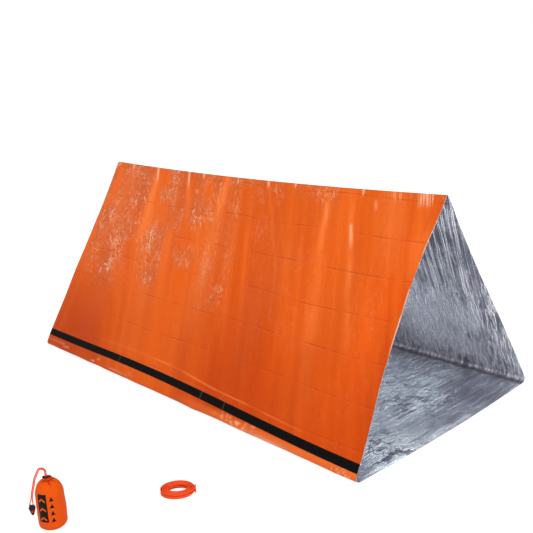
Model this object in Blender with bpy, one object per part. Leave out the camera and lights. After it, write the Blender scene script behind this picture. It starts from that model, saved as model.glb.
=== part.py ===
# Emergency tube tent of film, with its stuff sack and its hank of guy cord.
# Metres, +Z up. The origin is on the ground, at the middle of the tent's floor.
# The ridge runs along X, and the taped wall faces -Y.

import math

import bmesh
import bpy
from mathutils import Matrix, Vector

# Seats: touching pieces keep this gap
SEAT_GAP = 0.0003

# Tent: overall size, and the film that it is made of
TENT_LENGTH = 2.40
TENT_WIDTH = 1.25
TENT_HEIGHT = 1.01
FILM = 0.0012
BASE_FOLD_RADIUS = 0.020
RIDGE_FOLD_RADIUS = 0.006
RIDGE_LEG = 0.045

# Tent: the main folds of the hanging walls, the sag of the ridge, and the bow of the free edges
FOLD_DEPTH = 0.007
FOLD_COUNT = 6
FOLD_FAN = 0.18
FOLD_SHARE = 0.7
SLOW_FOLD_COUNT = 1.7
SLOW_FOLD_SHARE = 0.5
FRONT_FOLD_PHASE = 0.4
BACK_FOLD_PHASE = 2.1
RIDGE_SAG = 0.020
NEAR_EDGE_BOW = 0.028
FAR_EDGE_BOW = 0.014
BACK_EDGE_BOW = 0.010
EDGE_BOW_REACH = 0.35
EDGE_BOW_RISE = 1.6
WALL_COLUMNS = 32
CURL_ROWS = 4
WALL_ROWS = 5

# Seam tape on the front wall
TAPE_WIDTH = 0.048
TAPE_THICKNESS = 0.0006
TAPE_RISE = 0.098
TAPE_WAVE = 0.011

# Stuff sack: where it stands, and the way it faces
SACK_PLACE = (0.585, -1.549)
SACK_TURN = math.radians(48.2)
SACK_RADIUS = 0.052
SACK_BODY_HEIGHT = 0.1817
SACK_SIDE_HEIGHT = 0.122
SACK_WAIST = 0.0015
BASE_CORNER_RADIUS = 0.010
BASE_CUP_CLOTH = 0.0015
SEAM_BEAD = 0.0012
CUP_RISE_BEADS = 3.5
BODY_LEDGE = 0.004
CORNER_STEPS = 4
SIDE_STEPS = 5
SHOULDER_STEPS = 7
SACK_SEGMENTS = 36

# Drawcord and the tunnel that it runs in
DRAWCORD_DIAMETER = 0.004
DRAWCORD_CLEARANCE = 0.0003
STRAND_LEAD = 0.005
STRAND_SPACING = 0.0046
TUNNEL_RING_RADIUS = 0.012
TUNNEL_WALL = 0.0026
TUNNEL_EXIT_WIDTH = 0.023
EXIT_FLOOR_SHARE = 0.9
EXIT_BACK_SHARE = 1.6
EXIT_TOP_SHARE = 1.5
ARCH_RADIUS = 0.0133
ARCH_TURNS = (148, 105, 60, 22)
# Each point of a strand's own way down the sack: x, y, z, then its shares of the strand spacing
STRAND_WAY = (
    (-0.0567, -0.0285, 0.119, 1.2, 0.0),
    (-0.0545, -0.0260, 0.134, 1.0, 0.0),
    (-0.0520, -0.0225, 0.149, 1.0, 0.0),
    (-0.0467, -0.0190, 0.168, 1.0, 0.0),
    (-0.0403, -0.0160, 0.1925, 0.9, 0.3),
)
# The strand's way from the lock into the hem: shares of its spacing, the ring and the rise
HEM_RISE = ((1.0, 1.0, 1.0), (1.05, 1.0, 0.71), (1.55, 0.97, 0.54), (2.35, 0.90, 0.135))
HEM_TURN_START = 40
HEM_TURN_STEPS = 14
STRAND_POINTS = 26
HEM_POINTS = 26

# Cord lock: a barrel, a sprung plunger in it, and a hole through both for the two strands
LOCK_RADIUS = 0.0048
LOCK_LENGTH = 0.0195
LOCK_WALL = 0.0011
LOCK_END_WALL = 0.0013
LOCK_SPRING_ROOM = 0.0050
LOCK_GROOVES = 3
LOCK_GROOVE_WIDTH = 0.0008
LOCK_GROOVE_DEPTH = 0.0003
LOCK_SLOT_MARGIN = 0.0024
LOCK_BEVEL = 0.0006
PLUNGER_CLEARANCE = 0.0003
PLUNGER_TRAVEL = 0.003
PLUNGER_HEAD_RADIUS = 0.0055
PLUNGER_HEAD_LENGTH = 0.0055
PLUNGER_HEAD_FLARE = 0.0012
PLUNGER_NECK_SHARE = 0.35
PLUNGER_DISH_SHARE = 0.8
LOCK_SLIDE = 0.010
SPRING_WIRE = 0.0005
SPRING_TURNS = 4
SPRING_POINTS_PER_TURN = 9

# Whistle on the end of the drawcord
WHISTLE_DROP = 0.0960
WHISTLE_SIDE = 0.059
WHISTLE_FRONT = 0.030
WHISTLE_LENGTH = 0.0350
WHISTLE_WIDTH = 0.0225
WHISTLE_TOP_WIDTH = 0.0175
WHISTLE_WIDEST = 0.0095
WHISTLE_SHOULDER_SHARE = 0.45
WHISTLE_TIP_RADIUS = 0.0042
WHISTLE_THICKNESS = 0.009
WHISTLE_POCKET = 0.0046
WHISTLE_SOLID_TOP = 0.0080
WHISTLE_WINDOW = 0.0100
WHISTLE_WINDOW_DROP = 0.0160
WHISTLE_RIM = 0.0012
WHISTLE_STRAND_SPREAD = 0.0108
WHISTLE_DUCT_WIDTH = 0.006
WHISTLE_DUCT_HEIGHT = 0.0012
WHISTLE_MOUTH = 0.0030
WHISTLE_MOUTH_MARGIN = 0.0005
WHISTLE_BEVEL = 0.0008
CORE_BEVEL = 0.0005
CUT_OVERRUN = 0.002

# Guy cord, wound into an oval hank of piled loops
GUY_CORD_DIAMETER = 0.005
HANK_PLACE = (0.749, -1.112)
HANK_TURN = math.radians(48.2)
HANK_LENGTH = 0.138
HANK_DEPTH = 0.114
HANK_LAYERS = 4
LOOPS_PER_LAYER = 5
LOOP_PITCH = 0.0057
LAYER_PITCH = 0.0056
CLIMB_TURNS = 0.5
LOOP_POINTS = 24
HANK_TAIL = 0.012

# Colours, read off the real film, cloth, cord and plastic
FILM_ORANGE = (0.78, 0.13, 0.02)
TAPE_BLACK = (0.012, 0.012, 0.014)
SACK_ORANGE = (0.87, 0.16, 0.01)
CORD_ORANGE = (0.80, 0.07, 0.01)
PLASTIC_BLACK = (0.015, 0.015, 0.016)
CORE_RED = (0.80, 0.03, 0.01)
SPRING_STEEL = (0.55, 0.55, 0.56)


def clear_scene():
    """Take away whatever the file held."""
    for thing in list(bpy.data.objects):
        bpy.data.objects.remove(thing, do_unlink=True)


def make_material(name, colour, roughness, metallic=0.0):
    """A plain Principled finish."""
    material = bpy.data.materials.new(name)
    material.use_nodes = True
    shader = material.node_tree.nodes["Principled BSDF"]
    shader.inputs["Base Color"].default_value = (*colour, 1.0)
    shader.inputs["Roughness"].default_value = roughness
    shader.inputs["Metallic"].default_value = metallic
    return material


def add_object(name, data, material, parent=None):
    """Put a mesh or a curve into the scene as one named piece."""
    piece = bpy.data.objects.new(name, data)
    bpy.context.collection.objects.link(piece)
    data.materials.append(material)
    piece.parent = parent
    return piece


def mesh_from(name, bm):
    """Turn a finished bmesh into a mesh with its faces pointing out."""
    bmesh.ops.recalc_face_normals(bm, faces=bm.faces)
    mesh = bpy.data.meshes.new(name)
    bm.to_mesh(mesh)
    bm.free()
    return mesh


def add_empty(name, place, turn=0.0, parent=None):
    """A point that other pieces are placed from."""
    empty = bpy.data.objects.new(name, None)
    bpy.context.collection.objects.link(empty)
    empty.location = place
    empty.rotation_euler = (0.0, 0.0, turn)
    empty.parent = parent
    return empty


def add_thickness(piece, thickness):
    """Give a sheet its thickness, half on each side of the drawn surface."""
    solid = piece.modifiers.new("thickness", 'SOLIDIFY')
    solid.thickness = thickness
    solid.offset = 0.0
    solid.use_even_offset = True


def add_cut(piece, cutter):
    """Cut one shape out of another."""
    cutter.hide_render = True
    cutter.display_type = 'WIRE'
    cut = piece.modifiers.new("cut", 'BOOLEAN')
    cut.operation = 'DIFFERENCE'
    cut.object = cutter


def box_mesh(name, low, high):
    """A block between two corners."""
    bm = bmesh.new()
    bmesh.ops.create_cube(bm, size=1.0)
    size = Vector(high) - Vector(low)
    bmesh.ops.scale(bm, vec=size, verts=bm.verts)
    bmesh.ops.translate(bm, vec=(Vector(high) + Vector(low)) / 2, verts=bm.verts)
    return mesh_from(name, bm)


def turned_mesh(name, profile, segments):
    """Turn a profile of (radius, height) points round the Z axis."""
    bm = bmesh.new()
    corners = [bm.verts.new((radius, 0.0, height)) for radius, height in profile]
    for first, second in zip(corners, corners[1:]):
        bm.edges.new((first, second))
    bmesh.ops.spin(bm, geom=bm.verts[:] + bm.edges[:], cent=(0, 0, 0), axis=(0, 0, 1),
                   angle=2 * math.pi, steps=segments, use_merge=True)
    bmesh.ops.remove_doubles(bm, verts=bm.verts, dist=1e-6)
    return mesh_from(name, bm)


def shade(piece, angle=math.radians(35)):
    """Smooth shading with the sharp edges kept."""
    piece.data.shade_smooth()
    piece.data.set_sharp_from_angle(angle=angle)


# The cross-section of the tent

def wall_slope():
    """Angle of a wall from the ground, as the line that touches both fold circles."""
    across = TENT_WIDTH / 2 - BASE_FOLD_RADIUS
    up = TENT_HEIGHT - RIDGE_FOLD_RADIUS - BASE_FOLD_RADIUS
    lean = (BASE_FOLD_RADIUS - RIDGE_FOLD_RADIUS) / math.hypot(across, up)
    return math.acos(lean) - math.atan2(across, up)


def curl_length():
    """Length of film in the curl between the wall and the ground."""
    return BASE_FOLD_RADIUS * (math.pi - wall_slope())


def straight_length():
    """Length of film between the curl and the round of the ridge."""
    across = TENT_WIDTH / 2 - BASE_FOLD_RADIUS
    up = TENT_HEIGHT - RIDGE_FOLD_RADIUS - BASE_FOLD_RADIUS
    return across * math.cos(wall_slope()) + up * math.sin(wall_slope())


def wall_length():
    """Length of film in one wall, from the ground to its join with the ridge."""
    return curl_length() + straight_length() - RIDGE_LEG - SEAT_GAP


def wall_section(run):
    """Point (y, z) and outward normal of the front wall, run metres up from the ground."""
    slope = wall_slope()
    curl = curl_length()
    turn = min(run, curl) / BASE_FOLD_RADIUS
    normal = Vector((-math.sin(turn), -math.cos(turn)))
    centre = Vector((BASE_FOLD_RADIUS - TENT_WIDTH / 2, BASE_FOLD_RADIUS))
    point = centre + normal * BASE_FOLD_RADIUS
    if run > curl:
        point = point + Vector((math.cos(slope), math.sin(slope))) * (run - curl)
    return point, normal


def height_share(run):
    """How far up the hanging part of the wall a point lies, from 0 to 1."""
    hanging = wall_length() - curl_length()
    return min(max((run - curl_length()) / hanging, 0.0), 1.0)


def wall_fold(x, run, phase):
    """Depth of the film's main folds, which fan out from the ridge and die at the joins."""
    share = height_share(run)
    spread = x / (1.0 + FOLD_FAN * share)
    wave = math.sin(2 * math.pi * FOLD_COUNT * spread / TENT_LENGTH + phase)
    slow_wave = math.sin(2 * math.pi * SLOW_FOLD_COUNT * spread / TENT_LENGTH - 2 * phase)
    return FOLD_DEPTH * math.sin(math.pi * share) * (FOLD_SHARE * wave + SLOW_FOLD_SHARE * slow_wave)


def ridge_sag(x):
    """How far the ridge hangs below its two ends at one place along the tent."""
    return RIDGE_SAG * (1.0 - (2.0 * x / TENT_LENGTH) ** 2)


def edge_bow(x, run, near_depth, far_depth):
    """How far the free edges at the two open ends are drawn in along the ridge."""
    near = max(0.0, 1.0 - (TENT_LENGTH / 2 - x) / EDGE_BOW_REACH)
    far = max(0.0, 1.0 - (TENT_LENGTH / 2 + x) / EDGE_BOW_REACH)
    draw = math.sin(math.pi * height_share(run) ** EDGE_BOW_RISE)
    return draw * (near_depth * near ** 2 - far_depth * far ** 2)


def wall_place(x, run, offset, bow):
    """A point (x, y, z) of a wall that leans to +Y, offset along its normal."""
    point, normal = wall_section(run)
    place = point + normal * offset
    return Vector((x - bow, place.x, place.y - ridge_sag(x) * height_share(run)))


def front_wall_point(x, run, lift=0.0):
    """A point of the front wall's middle surface, raised by lift along its normal."""
    offset = lift - FILM / 2 + wall_fold(x, run, FRONT_FOLD_PHASE)
    return wall_place(x, run, offset, edge_bow(x, run, NEAR_EDGE_BOW, FAR_EDGE_BOW))


def back_wall_point(x, run, lift=0.0):
    """A point of the back wall, which leans the other way."""
    offset = lift - FILM / 2 + wall_fold(x, run, BACK_FOLD_PHASE)
    place = wall_place(x, run, offset, edge_bow(x, run, BACK_EDGE_BOW, BACK_EDGE_BOW))
    return Vector((place.x, -place.y, place.z))


def tape_edges(x):
    """Distances up the film of the tape's lower and upper edge."""
    share = x / TENT_LENGTH
    middle = TAPE_RISE + TAPE_WAVE * math.cos(2 * math.pi * share)
    return middle - TAPE_WIDTH / 2, middle + TAPE_WIDTH / 2


def spaced(start, end, steps):
    """Even steps from just after start up to end."""
    return [start + (end - start) * (step + 1) / steps for step in range(steps)]


def front_rows(x):
    """Rows of the front wall's grid at one place along the tent."""
    low, high = tape_edges(x)
    rows = [0.0] + spaced(0.0, curl_length(), CURL_ROWS)
    rows += [low, high]
    return rows + spaced(high, wall_length(), WALL_ROWS)


def back_rows(x):
    """Rows of the back wall's grid, which has no tape to follow."""
    rows = [0.0] + spaced(0.0, curl_length(), CURL_ROWS)
    return rows + spaced(curl_length(), wall_length(), WALL_ROWS + 1)


def film_sheet(name, row_places, surface, lift=0.0):
    """A grid of film laid on a surface, with rows that may wander along the tent."""
    rows = len(row_places(0.0)) - 1
    bm = bmesh.new()
    bmesh.ops.create_grid(bm, x_segments=WALL_COLUMNS, y_segments=rows, size=0.5)
    for corner in bm.verts:
        x = corner.co.x * TENT_LENGTH
        row = round((corner.co.y + 0.5) * rows)
        corner.co = surface(x, row_places(x)[row], lift)
    mesh = bpy.data.meshes.new(name)
    bm.to_mesh(mesh)
    bm.free()
    return mesh


def make_tent(film, tape):
    """The film tube, parted at its folds, and the tape on its seam."""
    front = add_object("front_wall", film_sheet("front_wall", front_rows, front_wall_point), film)
    add_thickness(front, FILM)
    front.data.shade_smooth()

    back = add_object("back_wall", film_sheet("back_wall", back_rows, back_wall_point), film)
    back.data.flip_normals()
    add_thickness(back, FILM)
    back.data.shade_smooth()

    tape_lift = FILM / 2 + SEAT_GAP + TAPE_THICKNESS / 2
    strip = film_sheet("seam_tape", tape_edges, front_wall_point, tape_lift)
    seam = add_object("seam_tape", strip, tape)
    add_thickness(seam, TAPE_THICKNESS)

    half_floor = TENT_WIDTH / 2 - BASE_FOLD_RADIUS - SEAT_GAP
    half_length = TENT_LENGTH / 2
    floor = box_mesh("floor_sheet", (-half_length, -half_floor, 0.0),
                     (half_length, half_floor, FILM))
    add_object("floor_sheet", floor, film)
    make_ridge(film)


def make_ridge(film):
    """The fold of film at the top, with a short leg down each side, sagging between its ends."""
    slope = wall_slope()
    radius = RIDGE_FOLD_RADIUS - FILM / 2
    centre = Vector((0.0, TENT_HEIGHT - RIDGE_FOLD_RADIUS))
    down = Vector((-math.cos(slope), -math.sin(slope)))
    bend_steps = 6
    path = []
    for step in range(bend_steps + 1):
        turn = slope * (2 * step / bend_steps - 1)
        path.append(centre + Vector((math.sin(turn), math.cos(turn))) * radius)
    path.insert(0, path[0] + down * RIDGE_LEG)
    path.append(path[-1] + Vector((-down.x, down.y)) * RIDGE_LEG)
    rows = len(path) - 1
    bm = bmesh.new()
    bmesh.ops.create_grid(bm, x_segments=WALL_COLUMNS, y_segments=rows, size=0.5)
    for corner in bm.verts:
        x = corner.co.x * TENT_LENGTH
        place = path[round((corner.co.y + 0.5) * rows)]
        corner.co = (x, place.x, place.y - ridge_sag(x))
    ridge = add_object("ridge_fold", mesh_from("ridge_fold", bm), film)
    add_thickness(ridge, FILM)


# The stuff sack

def tunnel_radius():
    """Outer radius of the rolled hem that the drawcord runs in."""
    return DRAWCORD_DIAMETER / 2 + DRAWCORD_CLEARANCE + TUNNEL_WALL


def tunnel_height():
    """Height of the middle of the tunnel, which lies on the top of the filled sack."""
    return SACK_BODY_HEIGHT + SEAT_GAP + tunnel_radius()


def foot_radius():
    """Outer radius of the sack's foot, which the waist draws in a little."""
    return SACK_RADIUS - SACK_WAIST


def cup_height():
    """Height of the base panel's rim: its round corner, and room for the sewn bead."""
    return BASE_CORNER_RADIUS + CUP_RISE_BEADS * SEAM_BEAD


def rounded_foot(inset):
    """The foot's round corner as (radius, height), from under the sack up to its side."""
    middle = foot_radius() - BASE_CORNER_RADIUS
    radius = BASE_CORNER_RADIUS - inset
    turns = [math.pi / 2 * step / CORNER_STEPS for step in range(CORNER_STEPS + 1)]
    return [(middle + radius * math.sin(turn), BASE_CORNER_RADIUS - radius * math.cos(turn))
            for turn in turns]


def make_sack_body(place, cloth):
    """The filled sack: a drum with a soft waist whose shoulders draw in to the neck."""
    inset = BASE_CUP_CLOTH + SEAT_GAP
    neck = TUNNEL_RING_RADIUS
    profile = [(0.0, inset)] + rounded_foot(inset)
    profile.append((foot_radius() - inset, cup_height() + SEAT_GAP))
    side_start = cup_height() + BODY_LEDGE
    for step in range(SIDE_STEPS + 1):
        share = step / SIDE_STEPS
        height = side_start + (SACK_SIDE_HEIGHT - side_start) * share
        profile.append((SACK_RADIUS - SACK_WAIST * (1 - math.sin(math.pi * share)), height))
    side_radius = foot_radius()
    for step in range(1, SHOULDER_STEPS + 1):
        turn = step / SHOULDER_STEPS * math.pi / 2
        radius = neck + (side_radius - neck) * math.cos(turn)
        height = SACK_SIDE_HEIGHT + (SACK_BODY_HEIGHT - SACK_SIDE_HEIGHT) * math.sin(turn)
        profile.append((radius, height))
    profile.append((0.0, SACK_BODY_HEIGHT))
    body = add_object("sack_body", turned_mesh("sack_body", profile, SACK_SEGMENTS), cloth, place)
    shade(body)


def make_sack_base(place, cloth):
    """The round base panel, turned up round the foot and finished with a sewn bead."""
    outer = foot_radius()
    rim = cup_height()
    profile = [(0.0, 0.0)] + rounded_foot(0.0)
    profile += [(outer, rim - 3 * SEAM_BEAD), (outer + SEAM_BEAD, rim - 2 * SEAM_BEAD)]
    profile += [(outer + SEAM_BEAD, rim - SEAM_BEAD), (outer, rim)]
    profile += [(outer - BASE_CUP_CLOTH, rim)] + rounded_foot(BASE_CUP_CLOTH)[::-1]
    profile.append((0.0, BASE_CUP_CLOTH))
    base = add_object("sack_base", turned_mesh("sack_base", profile, SACK_SEGMENTS), cloth, place)
    shade(base)


def ring_mesh(name, major, minor, segments, sides):
    """A ring round the Z axis with a round section."""
    bm = bmesh.new()
    section = bmesh.ops.create_circle(bm, radius=minor, segments=sides)["verts"]
    bmesh.ops.rotate(bm, matrix=Matrix.Rotation(math.pi / 2, 3, 'X'), verts=section)
    bmesh.ops.translate(bm, vec=(major, 0, 0), verts=section)
    bmesh.ops.spin(bm, geom=bm.verts[:] + bm.edges[:], cent=(0, 0, 0), axis=(0, 0, 1),
                   angle=2 * math.pi, steps=segments, use_merge=True)
    bmesh.ops.remove_doubles(bm, verts=bm.verts, dist=1e-6)
    return mesh_from(name, bm)


def make_sack_hem(place, cloth):
    """The rolled hem at the neck: a tunnel for the drawcord, open where the strands come out."""
    outer = tunnel_radius()
    bore = outer - TUNNEL_WALL
    hem = add_object("sack_hem", ring_mesh("sack_hem", TUNNEL_RING_RADIUS, outer, 28, 12),
                     cloth, place)
    hem.location = (0, 0, tunnel_height())
    tunnel = add_object("hem_tunnel", ring_mesh("hem_tunnel", TUNNEL_RING_RADIUS, bore, 28, 8),
                        cloth, hem)
    add_cut(hem, tunnel)
    half = TUNNEL_EXIT_WIDTH / 2
    front = -TUNNEL_RING_RADIUS - outer - SEAT_GAP
    exit_block = box_mesh("hem_exit", (-half, front, -bore * EXIT_FLOOR_SHARE),
                          (half, -bore * EXIT_BACK_SHARE, outer * EXIT_TOP_SHARE))
    add_cut(hem, add_object("hem_exit", exit_block, cloth, hem))
    shade(hem)


# The drawcord

def smooth_through(places, count):
    """Evenly spaced points on a smooth curve through a route's own points."""
    fine = []
    steps = 24
    ends = [places[0] * 2 - places[1]] + places + [places[-1] * 2 - places[-2]]
    for before, start, end, after in zip(ends, ends[1:], ends[2:], ends[3:]):
        for step in range(steps):
            t = step / steps
            bend = (before * -1 + start * 3 - end * 3 + after) * t ** 3
            turn = (before * 2 - start * 5 + end * 4 - after) * t ** 2
            fine.append((start * 2 + (end - before) * t + turn + bend) / 2)
    fine.append(places[-1])
    reach = [0.0]
    for first, second in zip(fine, fine[1:]):
        reach.append(reach[-1] + (second - first).length)
    chosen = []
    index = 0
    for number in range(count):
        target = reach[-1] * number / (count - 1)
        while index < len(fine) - 2 and reach[index + 1] < target:
            index += 1
        share = (target - reach[index]) / max(reach[index + 1] - reach[index], 1e-9)
        chosen.append(fine[index].lerp(fine[index + 1], share))
    return chosen


def lock_height():
    """Height of the cord lock's barrel, which sits down on the hem."""
    return tunnel_height() + tunnel_radius() + SEAT_GAP + LOCK_RADIUS


def strand_route(side):
    """One strand, from the whistle up over the arch and down to just above the lock.

    The inner strand has side -1 and the outer one +1: the outer strand passes over the arch
    outside the inner one, and goes through the right half of the lock.
    """
    step = side * STRAND_SPACING / 2
    neck = -TUNNEL_RING_RADIUS
    top = lock_height() + LOCK_RADIUS + LOCK_SLIDE + SEAT_GAP
    whistle_z = WHISTLE_DROP + WHISTLE_THICKNESS / 2 + SEAT_GAP
    whistle_x = -WHISTLE_SIDE - side * WHISTLE_STRAND_SPREAD / 2
    places = [
        (whistle_x, -WHISTLE_FRONT, whistle_z),
        (whistle_x, -WHISTLE_FRONT, whistle_z + STRAND_LEAD),
    ]
    places += [(x - spread * step, y, z + rise * step) for x, y, z, spread, rise in STRAND_WAY]
    for turn in ARCH_TURNS:
        radius = ARCH_RADIUS + step
        across = radius * math.cos(math.radians(turn)) - ARCH_RADIUS
        places.append((across, neck, top + STRAND_LEAD + radius * math.sin(math.radians(turn))))
    places += [(step, neck, top + STRAND_LEAD / 2), (step, neck, top)]
    return [Vector(place) for place in places]


def hem_route():
    """The drawcord from under the lock, round the neck in the hem, and back up to the lock."""
    neck = TUNNEL_RING_RADIUS
    ring = tunnel_height()
    half = STRAND_SPACING / 2
    under_lock = lock_height() - LOCK_RADIUS
    rise = under_lock - ring
    rising = [(half * spread, -neck * depth, ring + rise * height) for spread, depth, height in HEM_RISE]
    around = []
    start = math.radians(HEM_TURN_START)
    for number in range(HEM_TURN_STEPS + 1):
        turn = start + (2 * math.pi - 2 * start) * number / HEM_TURN_STEPS
        around.append((neck * math.sin(turn), -neck * math.cos(turn), ring))
    falling = [(-x, y, z) for x, y, z in reversed(rising)]
    return [Vector(place) for place in rising + around + falling]


def drawcord_points():
    """The whole cord: up from the whistle, round the neck in the hem and back to the whistle."""
    outer = smooth_through(strand_route(1), STRAND_POINTS)
    inner = smooth_through(strand_route(-1), STRAND_POINTS)
    return outer + smooth_through(hem_route(), HEM_POINTS) + inner[::-1]


def make_drawcord(place, braid):
    """The drawcord's one unbroken length."""
    curve = bpy.data.curves.new("drawcord", 'CURVE')
    curve.dimensions = '3D'
    curve.bevel_depth = DRAWCORD_DIAMETER / 2
    curve.bevel_resolution = 2
    curve.use_fill_caps = True
    points = drawcord_points()
    length = sum((b - a).length for a, b in zip(points, points[1:]))
    print(f"drawcord: {length:.3f} m long")
    spline = curve.splines.new('POLY')
    spline.points.add(len(points) - 1)
    for knot, point in zip(spline.points, points):
        knot.co = (*point, 1.0)
    add_object("drawcord", curve, braid, place)


# The cord lock

def lock_strand_place():
    """Distance of the two strands' middle from the barrel's closed end."""
    return LOCK_LENGTH - LOCK_SLOT_MARGIN - strand_slot_length() / 2


def strand_slot_length():
    """Length of the hole that takes both strands side by side."""
    return STRAND_SPACING + DRAWCORD_DIAMETER + 2 * DRAWCORD_CLEARANCE


def lay_along_x(mesh):
    """Turn a shape that was made round Z so that its axis lies along X."""
    mesh.transform(Matrix.Rotation(math.pi / 2, 4, 'Y'))
    return mesh


def slot_mesh(name, low, high):
    """A cutter for the hole that the strands go down through."""
    half = DRAWCORD_DIAMETER / 2 + DRAWCORD_CLEARANCE
    reach = 2 * LOCK_RADIUS
    return box_mesh(name, (low, -half, -reach), (high, half, reach))


def grip_grooves():
    """Shallow rings round the barrel's closed half, as (radius, distance from that end)."""
    profile = []
    low = LOCK_RADIUS - LOCK_GROOVE_DEPTH
    for number in range(LOCK_GROOVES):
        start = LOCK_END_WALL + 2 * number * LOCK_GROOVE_WIDTH
        profile += [(LOCK_RADIUS, start), (low, start + LOCK_GROOVE_WIDTH / 4)]
        profile += [(low, start + LOCK_GROOVE_WIDTH * 3 / 4), (LOCK_RADIUS, start + LOCK_GROOVE_WIDTH)]
    return profile


def make_cord_lock(place, plastic, steel):
    """The barrel, the plunger with its flared button, and the spring between them."""
    lock = add_empty("cord_lock_place", (-lock_strand_place(), -TUNNEL_RING_RADIUS, lock_height()),
                     parent=place)
    bore = LOCK_RADIUS - LOCK_WALL
    rim_bevel = LOCK_BEVEL / 2
    barrel_profile = [(0.0, 0.0), (LOCK_RADIUS - LOCK_BEVEL, 0.0), (LOCK_RADIUS, LOCK_BEVEL)]
    barrel_profile += grip_grooves()
    barrel_profile += [(LOCK_RADIUS, LOCK_LENGTH - rim_bevel), (LOCK_RADIUS - rim_bevel, LOCK_LENGTH),
                       (bore, LOCK_LENGTH), (bore, LOCK_END_WALL), (0.0, LOCK_END_WALL)]
    barrel_shape = lay_along_x(turned_mesh("cord_lock_barrel", barrel_profile, 24))
    barrel = add_object("cord_lock_barrel", barrel_shape, plastic, lock)
    strand_low = lock_strand_place() - strand_slot_length() / 2
    strand_high = strand_low + strand_slot_length()
    barrel_hole = slot_mesh("barrel_hole", strand_low, strand_high)
    add_cut(barrel, add_object("barrel_hole", barrel_hole, plastic, lock))
    shade(barrel)

    stem = bore - PLUNGER_CLEARANCE
    stem_start = LOCK_END_WALL + LOCK_SPRING_ROOM
    head_start = LOCK_LENGTH + PLUNGER_TRAVEL + SEAT_GAP
    head_end = head_start + PLUNGER_HEAD_LENGTH
    neck = PLUNGER_HEAD_RADIUS - PLUNGER_HEAD_FLARE
    plunger_profile = [(0.0, stem_start), (stem, stem_start), (stem, head_start),
                       (neck, head_start), (neck, head_start + PLUNGER_HEAD_LENGTH * PLUNGER_NECK_SHARE),
                       (PLUNGER_HEAD_RADIUS, head_end - LOCK_BEVEL), (neck, head_end),
                       (neck * PLUNGER_DISH_SHARE, head_end - rim_bevel), (0.0, head_end - LOCK_BEVEL)]
    plunger_shape = lay_along_x(turned_mesh("cord_lock_plunger", plunger_profile, 24))
    plunger = add_object("cord_lock_plunger", plunger_shape, plastic, lock)
    plunger_hole = slot_mesh("plunger_hole", strand_low, strand_high + PLUNGER_TRAVEL)
    add_cut(plunger, add_object("plunger_hole", plunger_hole, plastic, lock))
    shade(plunger)
    make_lock_spring(lock, steel, stem)


def make_lock_spring(lock, steel, stem):
    """The coil spring, seated on the barrel's end wall and on the plunger's end."""
    coil = stem - SPRING_WIRE
    first = LOCK_END_WALL + SEAT_GAP + SPRING_WIRE / 2
    last = LOCK_END_WALL + LOCK_SPRING_ROOM - SEAT_GAP - SPRING_WIRE / 2
    count = SPRING_TURNS * SPRING_POINTS_PER_TURN
    curve = bpy.data.curves.new("cord_lock_spring", 'CURVE')
    curve.dimensions = '3D'
    curve.bevel_depth = SPRING_WIRE / 2
    curve.bevel_resolution = 1
    curve.use_fill_caps = True
    spline = curve.splines.new('POLY')
    spline.points.add(count)
    for number in range(count + 1):
        turn = 2 * math.pi * number / SPRING_POINTS_PER_TURN
        along = first + (last - first) * number / count
        spline.points[number].co = (along, coil * math.cos(turn), coil * math.sin(turn), 1.0)
    add_object("cord_lock_spring", curve, steel, lock)


# The whistle

def whistle_outline(grow):
    """The front outline as (x, z), hanging down from the swing axis, grown by an even margin."""
    half_top = WHISTLE_TOP_WIDTH / 2 + grow
    half_wide = WHISTLE_WIDTH / 2 + grow
    tip = WHISTLE_TIP_RADIUS + grow
    centre = -(WHISTLE_LENGTH - WHISTLE_TIP_RADIUS)
    shoulder = WHISTLE_WIDEST * WHISTLE_SHOULDER_SHARE
    right = [(half_top, 0.0), (half_wide, -shoulder), (half_wide, -WHISTLE_WIDEST)]
    side = Vector((half_wide, -WHISTLE_WIDEST)) - Vector((0.0, centre))
    start = math.atan2(side.y, side.x) - math.acos(tip / side.length)
    tip_steps = 6
    for step in range(tip_steps + 1):
        turn = start + (-math.pi / 2 - start) * step / tip_steps
        right.append((tip * math.cos(turn), centre + tip * math.sin(turn)))
    left = [(-x, z) for x, z in reversed(right[:-1])]
    return right + left


def plate_mesh(name, outline, thickness, bevel=0.0):
    """A plate with an outline in the XZ plane, centred on Y = 0."""
    bm = bmesh.new()
    corners = [bm.verts.new((x, -thickness / 2, z)) for x, z in outline]
    face = bm.faces.new(corners)
    grown = bmesh.ops.extrude_face_region(bm, geom=[face])["geom"]
    moved = [item for item in grown if isinstance(item, bmesh.types.BMVert)]
    bmesh.ops.translate(bm, vec=(0, thickness, 0), verts=moved)
    if bevel:
        rims = [edge for edge in bm.edges if abs(edge.verts[0].co.y - edge.verts[1].co.y) < 1e-6]
        bmesh.ops.bevel(bm, geom=rims, offset=bevel, segments=2, profile=0.5,
                        affect='EDGES', material=-1)
    return mesh_from(name, bm)


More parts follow.
